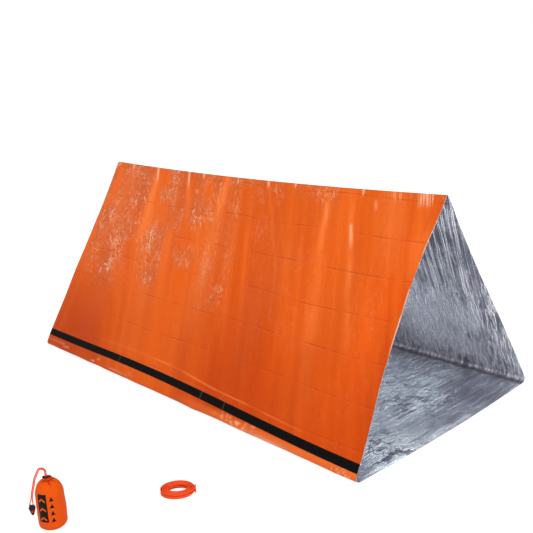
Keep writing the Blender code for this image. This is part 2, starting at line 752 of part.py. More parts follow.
def make_whistle(place, plastic, core_plastic):
    """A black shell that clasps a coloured sound core, which shows in its window and its rim."""
    pivot = add_empty("whistle_place", (-WHISTLE_SIDE, -WHISTLE_FRONT, WHISTLE_DROP), parent=place)
    half_thick = WHISTLE_THICKNESS / 2
    shell_shape = plate_mesh("whistle_body", whistle_outline(0.0), WHISTLE_THICKNESS, WHISTLE_BEVEL)
    shell = add_object("whistle_body", shell_shape, plastic, pivot)
    round_top = turned_mesh("whistle_barrel", [(0.0, -WHISTLE_TOP_WIDTH / 2),
                                               (half_thick, -WHISTLE_TOP_WIDTH / 2),
                                               (half_thick, WHISTLE_TOP_WIDTH / 2),
                                               (0.0, WHISTLE_TOP_WIDTH / 2)], 24)
    barrel = add_object("whistle_barrel", lay_along_x(round_top), plastic, pivot)
    barrel.hide_render = True
    barrel.display_type = 'WIRE'
    join = shell.modifiers.new("round top", 'BOOLEAN')
    join.operation = 'UNION'
    join.object = barrel

    pocket_half = WHISTLE_POCKET / 2
    wide = WHISTLE_WIDTH
    pocket_top = -WHISTLE_SOLID_TOP
    low = -WHISTLE_LENGTH - CUT_OVERRUN
    pocket = box_mesh("whistle_pocket", (-wide, -pocket_half, low), (wide, pocket_half, pocket_top))
    add_cut(shell, add_object("whistle_pocket", pocket, plastic, pivot))
    half_window = WHISTLE_WINDOW / 2
    window_top = -WHISTLE_WINDOW_DROP
    window_reach = half_thick + CUT_OVERRUN
    window = box_mesh("whistle_window", (-half_window, -window_reach, window_top - WHISTLE_WINDOW),
                      (half_window, window_reach, window_top))
    add_cut(shell, add_object("whistle_window", window, plastic, pivot))
    shade(shell)

    core_outline = [(x, min(z, pocket_top - SEAT_GAP)) for x, z in whistle_outline(WHISTLE_RIM)
                    if z < pocket_top]
    half_wide = WHISTLE_WIDTH / 2
    core_outline = [(half_wide, pocket_top - SEAT_GAP)] + core_outline
    core_outline.append((-half_wide, pocket_top - SEAT_GAP))
    core_thickness = WHISTLE_POCKET - 2 * SEAT_GAP
    core_shape = plate_mesh("whistle_core", core_outline, core_thickness, CORE_BEVEL)
    core = add_object("whistle_core", core_shape, core_plastic, pivot)
    duct_half = WHISTLE_DUCT_WIDTH / 2
    duct_depth = WHISTLE_DUCT_HEIGHT / 2
    mouth_middle = window_top - WHISTLE_WINDOW / 2
    duct = box_mesh("whistle_duct", (-duct_half, -duct_depth, low - CUT_OVERRUN),
                    (duct_half, duct_depth, mouth_middle))
    add_cut(core, add_object("whistle_duct", duct, core_plastic, pivot))
    mouth_half = duct_half + WHISTLE_MOUTH_MARGIN
    mouth = box_mesh("whistle_mouth", (-mouth_half, -core_thickness, mouth_middle - WHISTLE_MOUTH / 2),
                     (mouth_half, 1.5 * duct_depth, mouth_middle + WHISTLE_MOUTH / 2))
    add_cut(core, add_object("whistle_mouth", mouth, core_plastic, pivot))


# The guy cord

def loop_point(turns):
    """A point of the winding, turns loops from its start on the ground."""
    layer = min(int(turns / LOOPS_PER_LAYER), HANK_LAYERS - 1)
    within = turns - layer * LOOPS_PER_LAYER
    inset = within if layer % 2 == 0 else LOOPS_PER_LAYER - within
    half_length = HANK_LENGTH / 2 - GUY_CORD_DIAMETER / 2 - inset * LOOP_PITCH
    half_depth = HANK_DEPTH / 2 - GUY_CORD_DIAMETER / 2 - inset * LOOP_PITCH
    height = GUY_CORD_DIAMETER / 2
    for change in range(1, HANK_LAYERS):
        climb = (turns - change * LOOPS_PER_LAYER) / CLIMB_TURNS + 0.5
        height += LAYER_PITCH * min(max(climb, 0.0), 1.0)
    angle = 2 * math.pi * turns
    return Vector((half_length * math.cos(angle), half_depth * math.sin(angle), height))


def hank_route():
    """The whole guy cord: a straight tail, the piled loops, and a straight tail."""
    turns = HANK_LAYERS * LOOPS_PER_LAYER
    winding = [loop_point(number / LOOP_POINTS) for number in range(turns * LOOP_POINTS + 1)]
    start = winding[0] + (winding[0] - winding[1]).normalized() * HANK_TAIL
    end = winding[-1] + (winding[-1] - winding[-2]).normalized() * HANK_TAIL
    return [start] + winding + [end]


def least_gap(route, diameter, apart):
    """Smallest gap between stretches of the cord that lie more than apart points away."""
    least = math.inf
    for first in range(len(route) - 1):
        for second in range(first + apart, len(route) - 1):
            along = route[second + 1] - route[second]
            share = (route[first] - route[second]).dot(along) / along.length_squared
            nearest = route[second] + along * min(max(share, 0.0), 1.0)
            least = min(least, (route[first] - nearest).length)
    return least - diameter


def make_hank(braid):
    """The wound guy cord, as one unbroken tube."""
    place = add_empty("hank_place", (*HANK_PLACE, 0.0), HANK_TURN)
    route = hank_route()
    gap = least_gap(route, GUY_CORD_DIAMETER, LOOP_POINTS // 2)
    length = sum((b - a).length for a, b in zip(route, route[1:]))
    print(f"guy cord: {length:.3f} m long, least gap to itself {gap * 1000:.2f} mm")
    curve = bpy.data.curves.new("guy_cord", 'CURVE')
    curve.dimensions = '3D'
    curve.bevel_depth = GUY_CORD_DIAMETER / 2
    curve.bevel_resolution = 1
    curve.use_fill_caps = True
    spline = curve.splines.new('POLY')
    spline.points.add(len(route) - 1)
    for knot, point in zip(spline.points, route):
        knot.co = (*point, 1.0)
    add_object("guy_cord", curve, braid, place)


def main():
    """Build the kit."""
    clear_scene()
    film = make_material("orange film", FILM_ORANGE, 0.35)
    tape = make_material("seam tape", TAPE_BLACK, 0.45)
    cloth = make_material("sack cloth", SACK_ORANGE, 0.6)
    braid = make_material("cord braid", CORD_ORANGE, 0.7)
    plastic = make_material("black plastic", PLASTIC_BLACK, 0.4)
    core_plastic = make_material("red plastic", CORE_RED, 0.35)
    steel = make_material("spring steel", SPRING_STEEL, 0.3, 1.0)

    make_tent(film, tape)
    sack = add_empty("sack_place", (*SACK_PLACE, 0.0), SACK_TURN)
    make_sack_body(sack, cloth)
    make_sack_base(sack, cloth)
    make_sack_hem(sack, cloth)
    make_drawcord(sack, braid)
    make_cord_lock(sack, plastic, steel)
    make_whistle(sack, plastic, core_plastic)
    make_hank(braid)


main()
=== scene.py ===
# %% [markdown]
# # A survival tent of metallised film
# The real tent is one tube of thin film, orange outside and silver inside, with a black tape on
# its seam. Beside it stand its stuff sack and a hank of guy cord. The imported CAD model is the
# frame here: each visible piece is laid over the solid that it stands for, and moves with it.

# %% Load the frame
import math

import bmesh
import bpy
import numpy as np
from mathutils import Matrix, Vector


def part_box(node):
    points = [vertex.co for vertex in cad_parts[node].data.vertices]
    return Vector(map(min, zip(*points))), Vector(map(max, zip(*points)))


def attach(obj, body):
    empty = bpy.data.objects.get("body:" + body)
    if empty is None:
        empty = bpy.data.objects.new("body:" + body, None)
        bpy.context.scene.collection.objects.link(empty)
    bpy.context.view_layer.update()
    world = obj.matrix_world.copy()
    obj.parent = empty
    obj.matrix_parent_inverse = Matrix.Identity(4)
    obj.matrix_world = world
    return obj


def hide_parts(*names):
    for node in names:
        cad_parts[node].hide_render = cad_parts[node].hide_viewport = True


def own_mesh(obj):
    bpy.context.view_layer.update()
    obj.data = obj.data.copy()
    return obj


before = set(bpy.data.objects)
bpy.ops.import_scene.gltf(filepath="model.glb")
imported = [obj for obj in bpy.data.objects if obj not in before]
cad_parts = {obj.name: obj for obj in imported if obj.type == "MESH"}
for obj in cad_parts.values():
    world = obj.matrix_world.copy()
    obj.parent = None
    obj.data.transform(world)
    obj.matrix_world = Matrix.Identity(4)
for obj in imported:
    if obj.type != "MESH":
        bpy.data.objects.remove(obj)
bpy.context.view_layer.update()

# %% [markdown]
# ## Camera
# The view is a photographer's: about four metres from the tent, above head height, and turned
# so that the open end shows. The lens is worked out from the frame's width in pixels.

# %% Camera
PHOTO_SIDE = 533
FOCAL_PIXELS = 807.5
SENSOR_WIDTH = 36.0
CAMERA_PLACE = Vector((3.0735, -2.6663, 1.6017))
CAMERA_AZIMUTH = math.radians(48.195)
CAMERA_ELEVATION = math.radians(14.83)
CAMERA_ROLL = math.radians(-3.541)


def camera_turn():
    """The camera's rotation: level axes first, then the small roll."""
    level = math.cos(CAMERA_ELEVATION)
    back = Vector((math.sin(CAMERA_AZIMUTH) * level, -math.cos(CAMERA_AZIMUTH) * level,
                   math.sin(CAMERA_ELEVATION)))
    right = Vector((0, 0, 1)).cross(back).normalized()
    up = back.cross(right)
    rolled_right = right * math.cos(CAMERA_ROLL) + up * math.sin(CAMERA_ROLL)
    rolled_up = up * math.cos(CAMERA_ROLL) - right * math.sin(CAMERA_ROLL)
    return Matrix((rolled_right, rolled_up, back)).transposed()


lens = bpy.data.cameras.new("camera")
lens.sensor_width = SENSOR_WIDTH
lens.lens = FOCAL_PIXELS / PHOTO_SIDE * SENSOR_WIDTH
camera = bpy.data.objects.new("camera", lens)
camera.matrix_world = Matrix.Translation(CAMERA_PLACE) @ camera_turn().to_4x4()
bpy.context.collection.objects.link(camera)
bpy.context.scene.camera = camera
print(f"lens: {lens.lens:.2f} mm")

# %% [markdown]
# ## A grid that takes any shape
# Film, cloth and cord are all sheets, flat or rolled up. One helper starts each of them from
# Blender's grid operator, moves its points to where the sheet lies, and keeps a UV map in metres
# of the flat material, so that every weave and crease has its real size.

# %% Helpers for sheets
def shaped_grid(name, columns, rows, shape, chart, merge=0.0):
    """A grid bent to shape(across, up), with chart(across, up) as its UV map in metres."""
    bm = bmesh.new()
    bmesh.ops.create_grid(bm, x_segments=columns, y_segments=rows, size=0.5)
    across = np.array([corner.co.x for corner in bm.verts]) + 0.5
    up = np.array([corner.co.y for corner in bm.verts]) + 0.5
    places = shape(across, up)
    flat = chart(across, up)
    layer = bm.loops.layers.uv.new("UVMap")
    for face in bm.faces:
        face.smooth = True
        for loop in face.loops:
            loop[layer].uv = flat[loop.vert.index]
    for corner in bm.verts:
        corner.co = places[corner.index]
    if merge:
        bmesh.ops.remove_doubles(bm, verts=bm.verts, dist=merge)
    mesh = bpy.data.meshes.new(name)
    bm.to_mesh(mesh)
    bm.free()
    return mesh


def add_piece(name, mesh, *materials):
    """A mesh becomes a named object at the origin."""
    piece = bpy.data.objects.new(name, mesh)
    bpy.context.collection.objects.link(piece)
    for material in materials:
        mesh.materials.append(material)
    return piece


RIM_ANGLE = math.radians(50)


def thicken(piece, thickness, inner_material=0):
    """Give a sheet its thickness, grown inwards from the drawn face, and keep its cut edges crisp."""
    solid = piece.modifiers.new("thickness", 'SOLIDIFY')
    solid.thickness = thickness
    solid.offset = -1.0
    solid.use_even_offset = False
    solid.material_offset = inner_material
    solid.material_offset_rim = inner_material
    shown = piece.evaluated_get(bpy.context.evaluated_depsgraph_get())
    solid_mesh = bpy.data.meshes.new_from_object(shown)
    piece.modifiers.clear()
    piece.data = solid_mesh
    solid_mesh.name = piece.name
    solid_mesh.set_sharp_from_angle(angle=RIM_ANGLE)


def count_faces(piece):
    """Faces of a piece, for the printed notes."""
    return len(piece.data.polygons)


# %% [markdown]
# ## Noise that can be laid into a mesh
# Folds that the light catches have to be real shape, so the film's points are moved by sums of
# simple fields: a smooth one for slow waves, and a creased one, where shallow dishes meet in
# sharp lines, for crumpled film. Each has its own fixed seed, so that every run is the same.

# %% Fields
TABLE_SIDE = 64
DISH_LEVELS = 0.35
SECOND_DISHES = (0.37, 0.71)


def smooth_step(low, high, value):
    """A soft ramp from 0 at low to 1 at high."""
    share = np.clip((value - low) / (high - low), 0.0, 1.0)
    return share * share * (3 - 2 * share)


def slow_field(x, y, seed):
    """Smooth noise from -1 to 1, one feature for each unit of x and y."""
    table = np.random.default_rng(seed).uniform(-1.0, 1.0, (TABLE_SIDE, TABLE_SIDE))
    column = np.floor(x).astype(int)
    row = np.floor(y).astype(int)
    right = smooth_step(0.0, 1.0, x - column)
    above = smooth_step(0.0, 1.0, y - row)

    def corner(step_x, step_y):
        return table[(column + step_x) % TABLE_SIDE, (row + step_y) % TABLE_SIDE]

    low = corner(0, 0) * (1 - right) + corner(1, 0) * right
    high = corner(0, 1) * (1 - right) + corner(1, 1) * right
    return low * (1 - above) + high * above


def dish_field(x, y, seed):
    """Dishes with sharp rims, about one for each unit of x and y, from 0 in a dish upwards."""
    table = np.random.default_rng(seed).uniform(0.0, 1.0, (TABLE_SIDE, TABLE_SIDE, 3))
    column = np.floor(x).astype(int)
    row = np.floor(y).astype(int)
    nearest = np.full(np.shape(x), np.inf)
    for step_x in (-1, 0, 1):
        for step_y in (-1, 0, 1):
            chosen = table[(column + step_x) % TABLE_SIDE, (row + step_y) % TABLE_SIDE]
            away_x = x - column - step_x - chosen[..., 0]
            away_y = y - row - step_y - chosen[..., 1]
            level = DISH_LEVELS * chosen[..., 2]
            nearest = np.minimum(nearest, away_x ** 2 + away_y ** 2 + level)
    return nearest


def crumple(x, y, seed):
    """Crumpled film: ridges of one dish field against the valleys of another, about -0.6 to 0.6."""
    return dish_field(x, y, seed) - dish_field(x + SECOND_DISHES[0], y + SECOND_DISHES[1], seed + 1)


# %% [markdown]
# ## Cords
# The drawcord is one unbroken length: from the whistle, over an arch into the cord lock, round
# the neck in the hem, and back. Its few route points are listed, and a smooth curve runs
# through them. The guy cord is wound in piled loops, so its route is a formula.

# %% Where the sack and the hank stand
SEAT_GAP = 0.0003
SACK_PLACE = (0.585, -1.549)
SACK_TURN = math.radians(48.2)
HANK_PLACE = (0.749, -1.112)
HANK_TURN = math.radians(48.2)


def stand_at(points, place, turn):
    """Turn points about the upright axis and move them to their place on the ground."""
    points = np.asarray(points, float)
    x = points[:, 0] * math.cos(turn) - points[:, 1] * math.sin(turn) + place[0]
    y = points[:, 0] * math.sin(turn) + points[:, 1] * math.cos(turn) + place[1]
    return np.column_stack([x, y, points[:, 2]])


# %% A smooth line through a few points
STEPS_BETWEEN_POINTS = 24


def reach_along(route):
    """Distance from a route's start to each of its points."""
    return np.concatenate([[0.0], np.cumsum(np.linalg.norm(np.diff(route, axis=0), axis=1))])


def route_length(route):
    """Length of a route along its points."""
    return float(reach_along(route)[-1])


def smooth_through(places, count):
    """Evenly spaced points on a smooth curve through a route's own points."""
    places = np.asarray(places, float)
    ends = np.vstack([2 * places[0] - places[1], places, 2 * places[-1] - places[-2]])
    fine = []
    for before, start, end, after in zip(ends, ends[1:], ends[2:], ends[3:]):
        for t in np.arange(STEPS_BETWEEN_POINTS) / STEPS_BETWEEN_POINTS:
            bend = (-before + 3 * start - 3 * end + after) * t ** 3
            turn = (2 * before - 5 * start + 4 * end - after) * t ** 2
            fine.append((2 * start + (end - before) * t + turn + bend) / 2)
    fine = np.vstack([fine, places[-1]])
    even = np.linspace(0.0, route_length(fine), count)
    return np.column_stack([np.interp(even, reach_along(fine), fine[:, axis]) for axis in range(3)])


# %% The drawcord's strands
DRAWCORD_DIAMETER = 0.004
STRAND_SPACING = 0.0046
NECK_RADIUS = 0.012
LOCK_HEIGHT = 0.1969
LOCK_RADIUS = 0.0048
LOCK_SLIDE = 0.010
ARCH_RADIUS = 0.0133
ARCH_TURNS = (148, 105, 60, 22)
ARCH_FOOT = 0.005
WHISTLE_SIDE = 0.059
WHISTLE_FRONT = 0.030
WHISTLE_DROP = 0.096
WHISTLE_THICKNESS = 0.009
WHISTLE_STRAND_SPREAD = 0.0108


def strand_route(side):
    """One strand, from the whistle over the arch and down to the lock; side is -1 or +1."""
    step = side * STRAND_SPACING / 2
    top = LOCK_HEIGHT + LOCK_RADIUS + LOCK_SLIDE + SEAT_GAP
    whistle_z = WHISTLE_DROP + WHISTLE_THICKNESS / 2 + SEAT_GAP
    whistle_x = -WHISTLE_SIDE - side * WHISTLE_STRAND_SPREAD / 2
    places = [
        (whistle_x, -WHISTLE_FRONT, whistle_z),
        (whistle_x, -WHISTLE_FRONT, whistle_z + 0.005),
        (-0.0567 - 1.2 * step, -0.0285, 0.119),
        (-0.0545 - 1.0 * step, -0.0260, 0.134),
        (-0.0520 - step, -0.0225, 0.149),
        (-0.0467 - step, -0.0190, 0.168),
        (-0.0403 - 0.9 * step, -0.0160, 0.1925 + 0.3 * step),
    ]
    radius = ARCH_RADIUS + step
    for turn in np.radians(ARCH_TURNS):
        across = radius * math.cos(turn) - ARCH_RADIUS
        places.append((across, -NECK_RADIUS, top + ARCH_FOOT + radius * math.sin(turn)))
    return places + [(step, -NECK_RADIUS, top + ARCH_FOOT / 2), (step, -NECK_RADIUS, top)]


strands = [smooth_through(strand_route(side), 130) for side in (1, -1)]
print("strands:", [round(route_length(strand), 3) for strand in strands])

# %% The drawcord's way round the neck
HEM_RADIUS = 0.0049
HEM_HEIGHT = 0.1869
HEM_MOUTH_TURN = 40


def hem_route():
    """From under the lock, round the neck in the hem, and back up to the lock."""
    half = STRAND_SPACING / 2
    under_lock = LOCK_HEIGHT - LOCK_RADIUS
    rising = [
        (half, -NECK_RADIUS, under_lock),
        (half * 1.05, -NECK_RADIUS, under_lock - 0.0015),
        (half * 1.55, -NECK_RADIUS * 0.97, HEM_HEIGHT + 0.0028),
        (half * 2.35, -NECK_RADIUS * 0.90, HEM_HEIGHT + 0.0007),
    ]
    turns = np.radians(np.linspace(HEM_MOUTH_TURN, 360 - HEM_MOUTH_TURN, 15))
    around = [(NECK_RADIUS * math.sin(t), -NECK_RADIUS * math.cos(t), HEM_HEIGHT) for t in turns]
    falling = [(-x, y, z) for x, y, z in reversed(rising)]
    return rising + around + falling


drawcord_route = np.vstack([strands[0], smooth_through(hem_route(), 120), strands[1][::-1]])
drawcord_route = stand_at(drawcord_route, SACK_PLACE, SACK_TURN)
print(f"drawcord: {route_length(drawcord_route):.3f} m")

# %% [markdown]
# A hank is made by winding the cord round two fingers or a board: one flat layer of loops inside
# each other, then the next layer on top. Each loop here is an oval a cord's width smaller than
# the last, and every layer starts where the one under it ended.

# %% The guy cord's route
GUY_CORD_DIAMETER = 0.005
HANK_LENGTH = 0.138
HANK_DEPTH = 0.114
HANK_LAYERS = 4
LOOPS_PER_LAYER = 5
LOOP_PITCH = 0.0057
LAYER_PITCH = 0.0056
CLIMB_TURNS = 0.5
LOOP_POINTS = 48
HANK_SLACK = 0.0009
SLACK_WAVES = 2.3
HANK_TAIL = 0.012


def loop_points(turns):
    """Points of the winding, turns loops from its start on the ground."""
    layer = np.minimum((turns / LOOPS_PER_LAYER).astype(int), HANK_LAYERS - 1)
    within = turns - layer * LOOPS_PER_LAYER
    inset = np.where(layer % 2 == 0, within, LOOPS_PER_LAYER - within)
    half_length = HANK_LENGTH / 2 - GUY_CORD_DIAMETER / 2 - inset * LOOP_PITCH
    half_depth = HANK_DEPTH / 2 - GUY_CORD_DIAMETER / 2 - inset * LOOP_PITCH
    height = np.full(len(turns), GUY_CORD_DIAMETER / 2)
    for change in range(1, HANK_LAYERS):
        climb = (turns - change * LOOPS_PER_LAYER) / CLIMB_TURNS + 0.5
        height += LAYER_PITCH * np.clip(climb, 0.0, 1.0)
    angle = 2 * math.pi * turns
    return np.column_stack([half_length * np.cos(angle), half_depth * np.sin(angle), height])


def straight_end(last, before):
    """Where a straight tail ends that runs on past the last point of the winding."""
    ahead = last - before
    return last + ahead / np.linalg.norm(ahead) * HANK_TAIL


def hank_points():
    """The whole cord: a straight tail, the piled loops, and a straight tail."""
    turns = np.arange(HANK_LAYERS * LOOPS_PER_LAYER * LOOP_POINTS + 1) / LOOP_POINTS
    winding = loop_points(turns)
    for axis, seed in ((0, 41), (1, 42)):
        winding[:, axis] += HANK_SLACK * slow_field(turns * SLACK_WAVES, turns * 0.0, seed)
    return np.vstack([straight_end(winding[0], winding[1]), winding,
                      straight_end(winding[-1], winding[-2])])


guy_route = stand_at(hank_points(), HANK_PLACE, HANK_TURN)
print(f"guy cord: {route_length(guy_route):.3f} m")

# %% [markdown]
# A cord is a grid rolled into a tube round its route. Its rings have to stay square to the route
# without twisting round it, or the braid would wind up like a spring, so each ring's direction is
# carried over from the ring before.

# %% Tubes that follow the routes
def route_frames(route):
    """Two directions square to the route at each point, carried along without twist."""
    ahead = np.gradient(route, axis=0)
    ahead /= np.linalg.norm(ahead, axis=1)[:, None]
    side = np.cross(ahead[0], (0.0, 0.0, 1.0))
    if np.linalg.norm(side) < 0.1:
        side = np.cross(ahead[0], (1.0, 0.0, 0.0))
    sides = []
    for direction in ahead:
        side = side - direction * (side @ direction)
        side = side / np.linalg.norm(side)
        sides.append(side)
    sides = np.array(sides)
    return sides, np.cross(ahead, sides)


def cord_mesh(name, route, diameter, sides):
    """A round cord with closed ends. Its UV map has turns across and metres along."""
    out, over = route_frames(route)
    reach = reach_along(route)
    last = len(route) - 1

    def shape(across, up):
        station = np.rint(up * last).astype(int)
        turn = 2 * math.pi * across
        ring = np.cos(turn)[:, None] * out[station] + np.sin(turn)[:, None] * over[station]
        return route[station] + ring * diameter / 2

    def chart(across, up):
        station = np.rint(up * last).astype(int)
        return np.column_stack([across, reach[station]])

    mesh = shaped_grid(name, sides, last, shape, chart, merge=1e-6)
    bm = bmesh.new()
    bm.from_mesh(mesh)
    open_edges = [edge for edge in bm.edges if edge.is_boundary]
    bmesh.ops.holes_fill(bm, edges=open_edges, sides=sides)
    bmesh.ops.recalc_face_normals(bm, faces=bm.faces)
    bm.to_mesh(mesh)
    bm.free()
    return mesh


# %% [markdown]
# ## Node groups
# Effects that several finishes share are built once: crinkles and streaks for the film, woven
# cloth for sack and tape, braid for both cords, and moulded grain for the plastics. Each puts
# out heights and masks only, and every material gives it values of its own.

# %% Helpers for shader nodes
def new_material(name, colour, roughness, metallic=0.0):
    """A Principled material, its tree and its shader."""
    material = bpy.data.materials.new(name)
    material.use_nodes = True
    shader = material.node_tree.nodes["Principled BSDF"]
    shader.inputs["Base Color"].default_value = (*colour, 1.0)
    shader.inputs["Roughness"].default_value = roughness
    shader.inputs["Metallic"].default_value = metallic
    return material, material.node_tree, shader


def feed(socket, value):
    """Give an input its value: another node's output, a number, a vector or a colour."""
    if isinstance(value, bpy.types.NodeSocket):
        socket.id_data.links.new(value, socket)
    elif socket.type == 'RGBA' and len(value) == 3:
        socket.default_value = (*value, 1.0)
    else:
        socket.default_value = value


def add_node(tree, kind, settings=None, **inputs):
    """A node with its settings. Its inputs go by name, or by number as i0, i1 and so on."""
    node = tree.nodes.new(kind)
    for key, value in (settings or {}).items():
        setattr(node, key, value)
    for key, value in inputs.items():
        numbered = key[0] == "i" and key[1:].isdigit()
        feed(node.inputs[int(key[1:]) if numbered else key], value)
    return node


def tree_of(*values):
    """The node tree that the first linked value belongs to."""
    return next(value.id_data for value in values if isinstance(value, bpy.types.NodeSocket))


def maths(operation, first, second=0.0):
    """One sum in a shader; returns its output."""
    node = add_node(tree_of(first, second), "ShaderNodeMath", {"operation": operation}, i0=first, i1=second)
    return node.outputs[0]


def times(first, *others):
    """The product of values."""
    for other in others:
        first = maths('MULTIPLY', first, other)
    return first


def plus(first, second):
    """The sum of two values."""
    return maths('ADD', first, second)


def minus(first, second):
    """The difference of two values."""
    return maths('SUBTRACT', first, second)


def larger(first, second):
    """The larger of two values."""
    return maths('MAXIMUM', first, second)


def distance_to(value, middle):
    """How far a value is from a middle one, on either side."""
    return maths('ABSOLUTE', minus(value, middle))


def ramp(value, low, high, start=0.0, end=1.0):
    """A smooth ramp: start where value is at low, end where it is at high."""
    return add_node(tree_of(value), "ShaderNodeMapRange", {"interpolation_type": 'SMOOTHSTEP'},
                    i0=value, i1=low, i2=high, i3=start, i4=end).outputs[0]


# %% Helpers for colours and patterns
def mix(share, first, second):
    """Mix two values."""
    tree = tree_of(share, first, second)
    return add_node(tree, "ShaderNodeMix", i0=share, i2=first, i3=second).outputs[0]


def mix_colour(share, first, second):
    """Mix two colours."""
    tree = tree_of(share, first, second)
    return add_node(tree, "ShaderNodeMix", {"data_type": 'RGBA'},
                    i0=share, i6=first, i7=second).outputs[2]


def layered(colour, *layers):
    """A colour with others laid over it, each by its own share."""
    for share, over in layers:
        colour = mix_colour(share, colour, over)
    return colour


def noise(vector, scale, detail=2.0, roughness=0.6):
    """Smooth noise, from 0 to 1 about a middle of 0.5, with scale features in a metre."""
    return add_node(tree_of(vector), "ShaderNodeTexNoise", Vector=vector, Scale=scale, Detail=detail,
                    Roughness=roughness).outputs[0]


def stretched(vector, y=1.0, z=1.0, turn=0.0):
    """A pattern's coordinates, scaled along y or z and turned: a small scale draws it out."""
    return add_node(tree_of(vector), "ShaderNodeMapping", Vector=vector, Scale=(1.0, y, z),
                    Rotation=(0.0, 0.0, turn)).outputs[0]


def swayed(vector, scale, reach):
    """Coordinates pushed about by slow noise, so that a pattern wanders."""
    sway = add_node(tree_of(vector), "ShaderNodeTexNoise", Vector=vector, Scale=scale, Detail=2.0)
    return add_node(tree_of(vector), "ShaderNodeVectorMath", {"operation": 'MULTIPLY_ADD'},
                    i0=sway.outputs[1], i1=(reach, reach, 0.0), i2=vector).outputs[0]


def parted(vector):
    """The three parts of a vector."""
    return add_node(tree_of(vector), "ShaderNodeSeparateXYZ", i0=vector).outputs


def flat_coordinates(tree):
    """The piece's own UV map."""
    return tree.nodes.new("ShaderNodeUVMap").outputs[0]


def object_coordinates(tree):
    """Places in the frame, in metres."""
    return tree.nodes.new("ShaderNodeTexCoord").outputs["Object"]


def add_bump(shader, height, distance):
    """Feed a height into the shader's normal."""
    bump = add_node(shader.id_data, "ShaderNodeBump", Strength=1.0, Distance=distance, Height=height)
    feed(shader.inputs["Normal"], bump.outputs[0])


# %% Helpers for node groups
def new_group(name, **inputs):
    """A node group and its inputs: values with a default, or vectors where that is None."""
    group = bpy.data.node_groups.new(name, "ShaderNodeTree")
    for label, value in inputs.items():
        kind = "NodeSocketVector" if value is None else "NodeSocketFloat"
        socket = group.interface.new_socket(name=label, in_out='INPUT', socket_type=kind)
        if value is not None:
            socket.default_value = value
    return group, group.nodes.new("NodeGroupInput").outputs


def end_group(group, **values):
    """Give a group its outputs, with a value for each."""
    for label in values:
        group.interface.new_socket(name=label, in_out='OUTPUT', socket_type="NodeSocketFloat")
    end = group.nodes.new("NodeGroupOutput")
    for label, value in values.items():
        feed(end.inputs[label], value)
    return group


def use_group(tree, group, **values):
    """Place a node group in a material; returns its outputs."""
    return add_node(tree, "ShaderNodeGroup", {"node_tree": group}, **values).outputs


# %% [markdown]
# Noise has no lines of its own, but the places where it passes its middle value are thin, closed,
# wandering lines. Drawn out tall they are painted glints and streaks, and left round they are a web
# of crackle with painted glints and shade. The packing creases are lines at whole numbers of a
# coordinate that the mesh carries.

# %% Lines for film
MIDDLE = 0.5


def crossing_lines(value, width):
    """1 along the lines where a smooth value passes its middle, falling to 0 over width."""
    return ramp(distance_to(value, MIDDLE), 0.0, width, 1.0, 0.0)


def crease_line(place, width):
    """1 on a packing crease, where place is a whole number, falling to 0 over width on each side."""
    return ramp(distance_to(place, maths('ROUND', place)), 0.0, width, 1.0, 0.0)


def packing_lines(flat, packing):
    """The film's packing creases, broken up, for painted shade, and the faint painted glint along the lower
    edge of each.
    """
    along, up = parted(packing)[:2]
    broken = ramp(noise(flat, 6.5, 3.0, 0.65), 0.41, 0.60)
    creases = larger(times(crease_line(along, 0.020), 0.35), crease_line(up, 0.026))
    lower_edge = times(crease_line(plus(up, 0.050), 0.030), broken, 0.03)
    return times(creases, broken), lower_edge


# %% Crinkles of the lacquered face
def hanging_strokes(flat, stroked):
    """Fine upright strokes of painted glint, each as long as its own column and the mark's strength let it
    be.
    """
    strokes = crossing_lines(noise(stretched(flat, y=0.05), 34.0), 0.055)
    own_length = noise(stretched(flat, y=0.0), 60.0)
    return times(strokes, ramp(minus(stroked, own_length), 0.0, 0.35, 0.0, 0.65))


def build_film_crinkles():
    """Relief and painted light: short upright glints and a web of crackle in patches, painted shade beside
    the web and in the broken packing creases, and fine upright streaks of painted light and shade.
    """
    group, given = new_group("film crinkles", Vector=None, Crinkle=0.5, Packing=None, Stroked=0.0)
    crinkle = given["Crinkle"]
    hanging = swayed(given["Vector"], 9.0, 0.022)
    tall = stretched(hanging, y=0.28)
    patches = ramp(noise(tall, 17.0, 3.0), 0.38, 0.62, 0.25, 1.0)
    dense = ramp(noise(hanging, 9.0, 3.0), 0.45, 0.58, 0.15, 0.80)

    shown = ramp(noise(stretched(hanging, y=0.55), 52.0), 0.50, 0.60)
    nicks = times(crossing_lines(noise(tall, 40.0, roughness=0.55), 0.065), shown)
    crackle = noise(stretched(hanging, y=0.50), 58.0, 3.0)
    web = crossing_lines(crackle, 0.060)
    # Painted shade beside each line of the crackle web.
    dark_web = times(crossing_lines(plus(crackle, 0.11), 0.055), patches, 0.55, crinkle)
    creases, lower_edge = packing_lines(given["Vector"], given["Packing"])
    # Painted glints: the tall lines, and the crackle web where it is dense.
    glint = times(larger(times(nicks, 0.85), times(web, dense)), patches, crinkle)

    broad = noise(stretched(hanging, y=0.20), 22.0, 3.0)
    height = times(plus(times(web, 0.35), times(nicks, 0.6)), crinkle)
    height = plus(plus(times(broad, 0.45), height), times(creases, -0.10))
    return end_group(group, Height=height, Glint=larger(glint, lower_edge),
                     Crease=larger(creases, dark_web),
                     Fibre=noise(stretched(hanging, y=0.050), 19.0, 4.0),
                     Stroke=hanging_strokes(given["Vector"], given["Stroked"]))


film_crinkles = build_film_crinkles()

# %% [markdown]
# The bare metal face has no crackle of its own. What shows on it are long streaks where the film
# hangs, slanting wrinkles lower down, and crushed foil on the floor. One value tells light streaks
# from dark ones, which are painted reflections, and the same lines stand up a little as relief.

# %% Streaks of the metal face
PLAIN_STREAK = 0.40


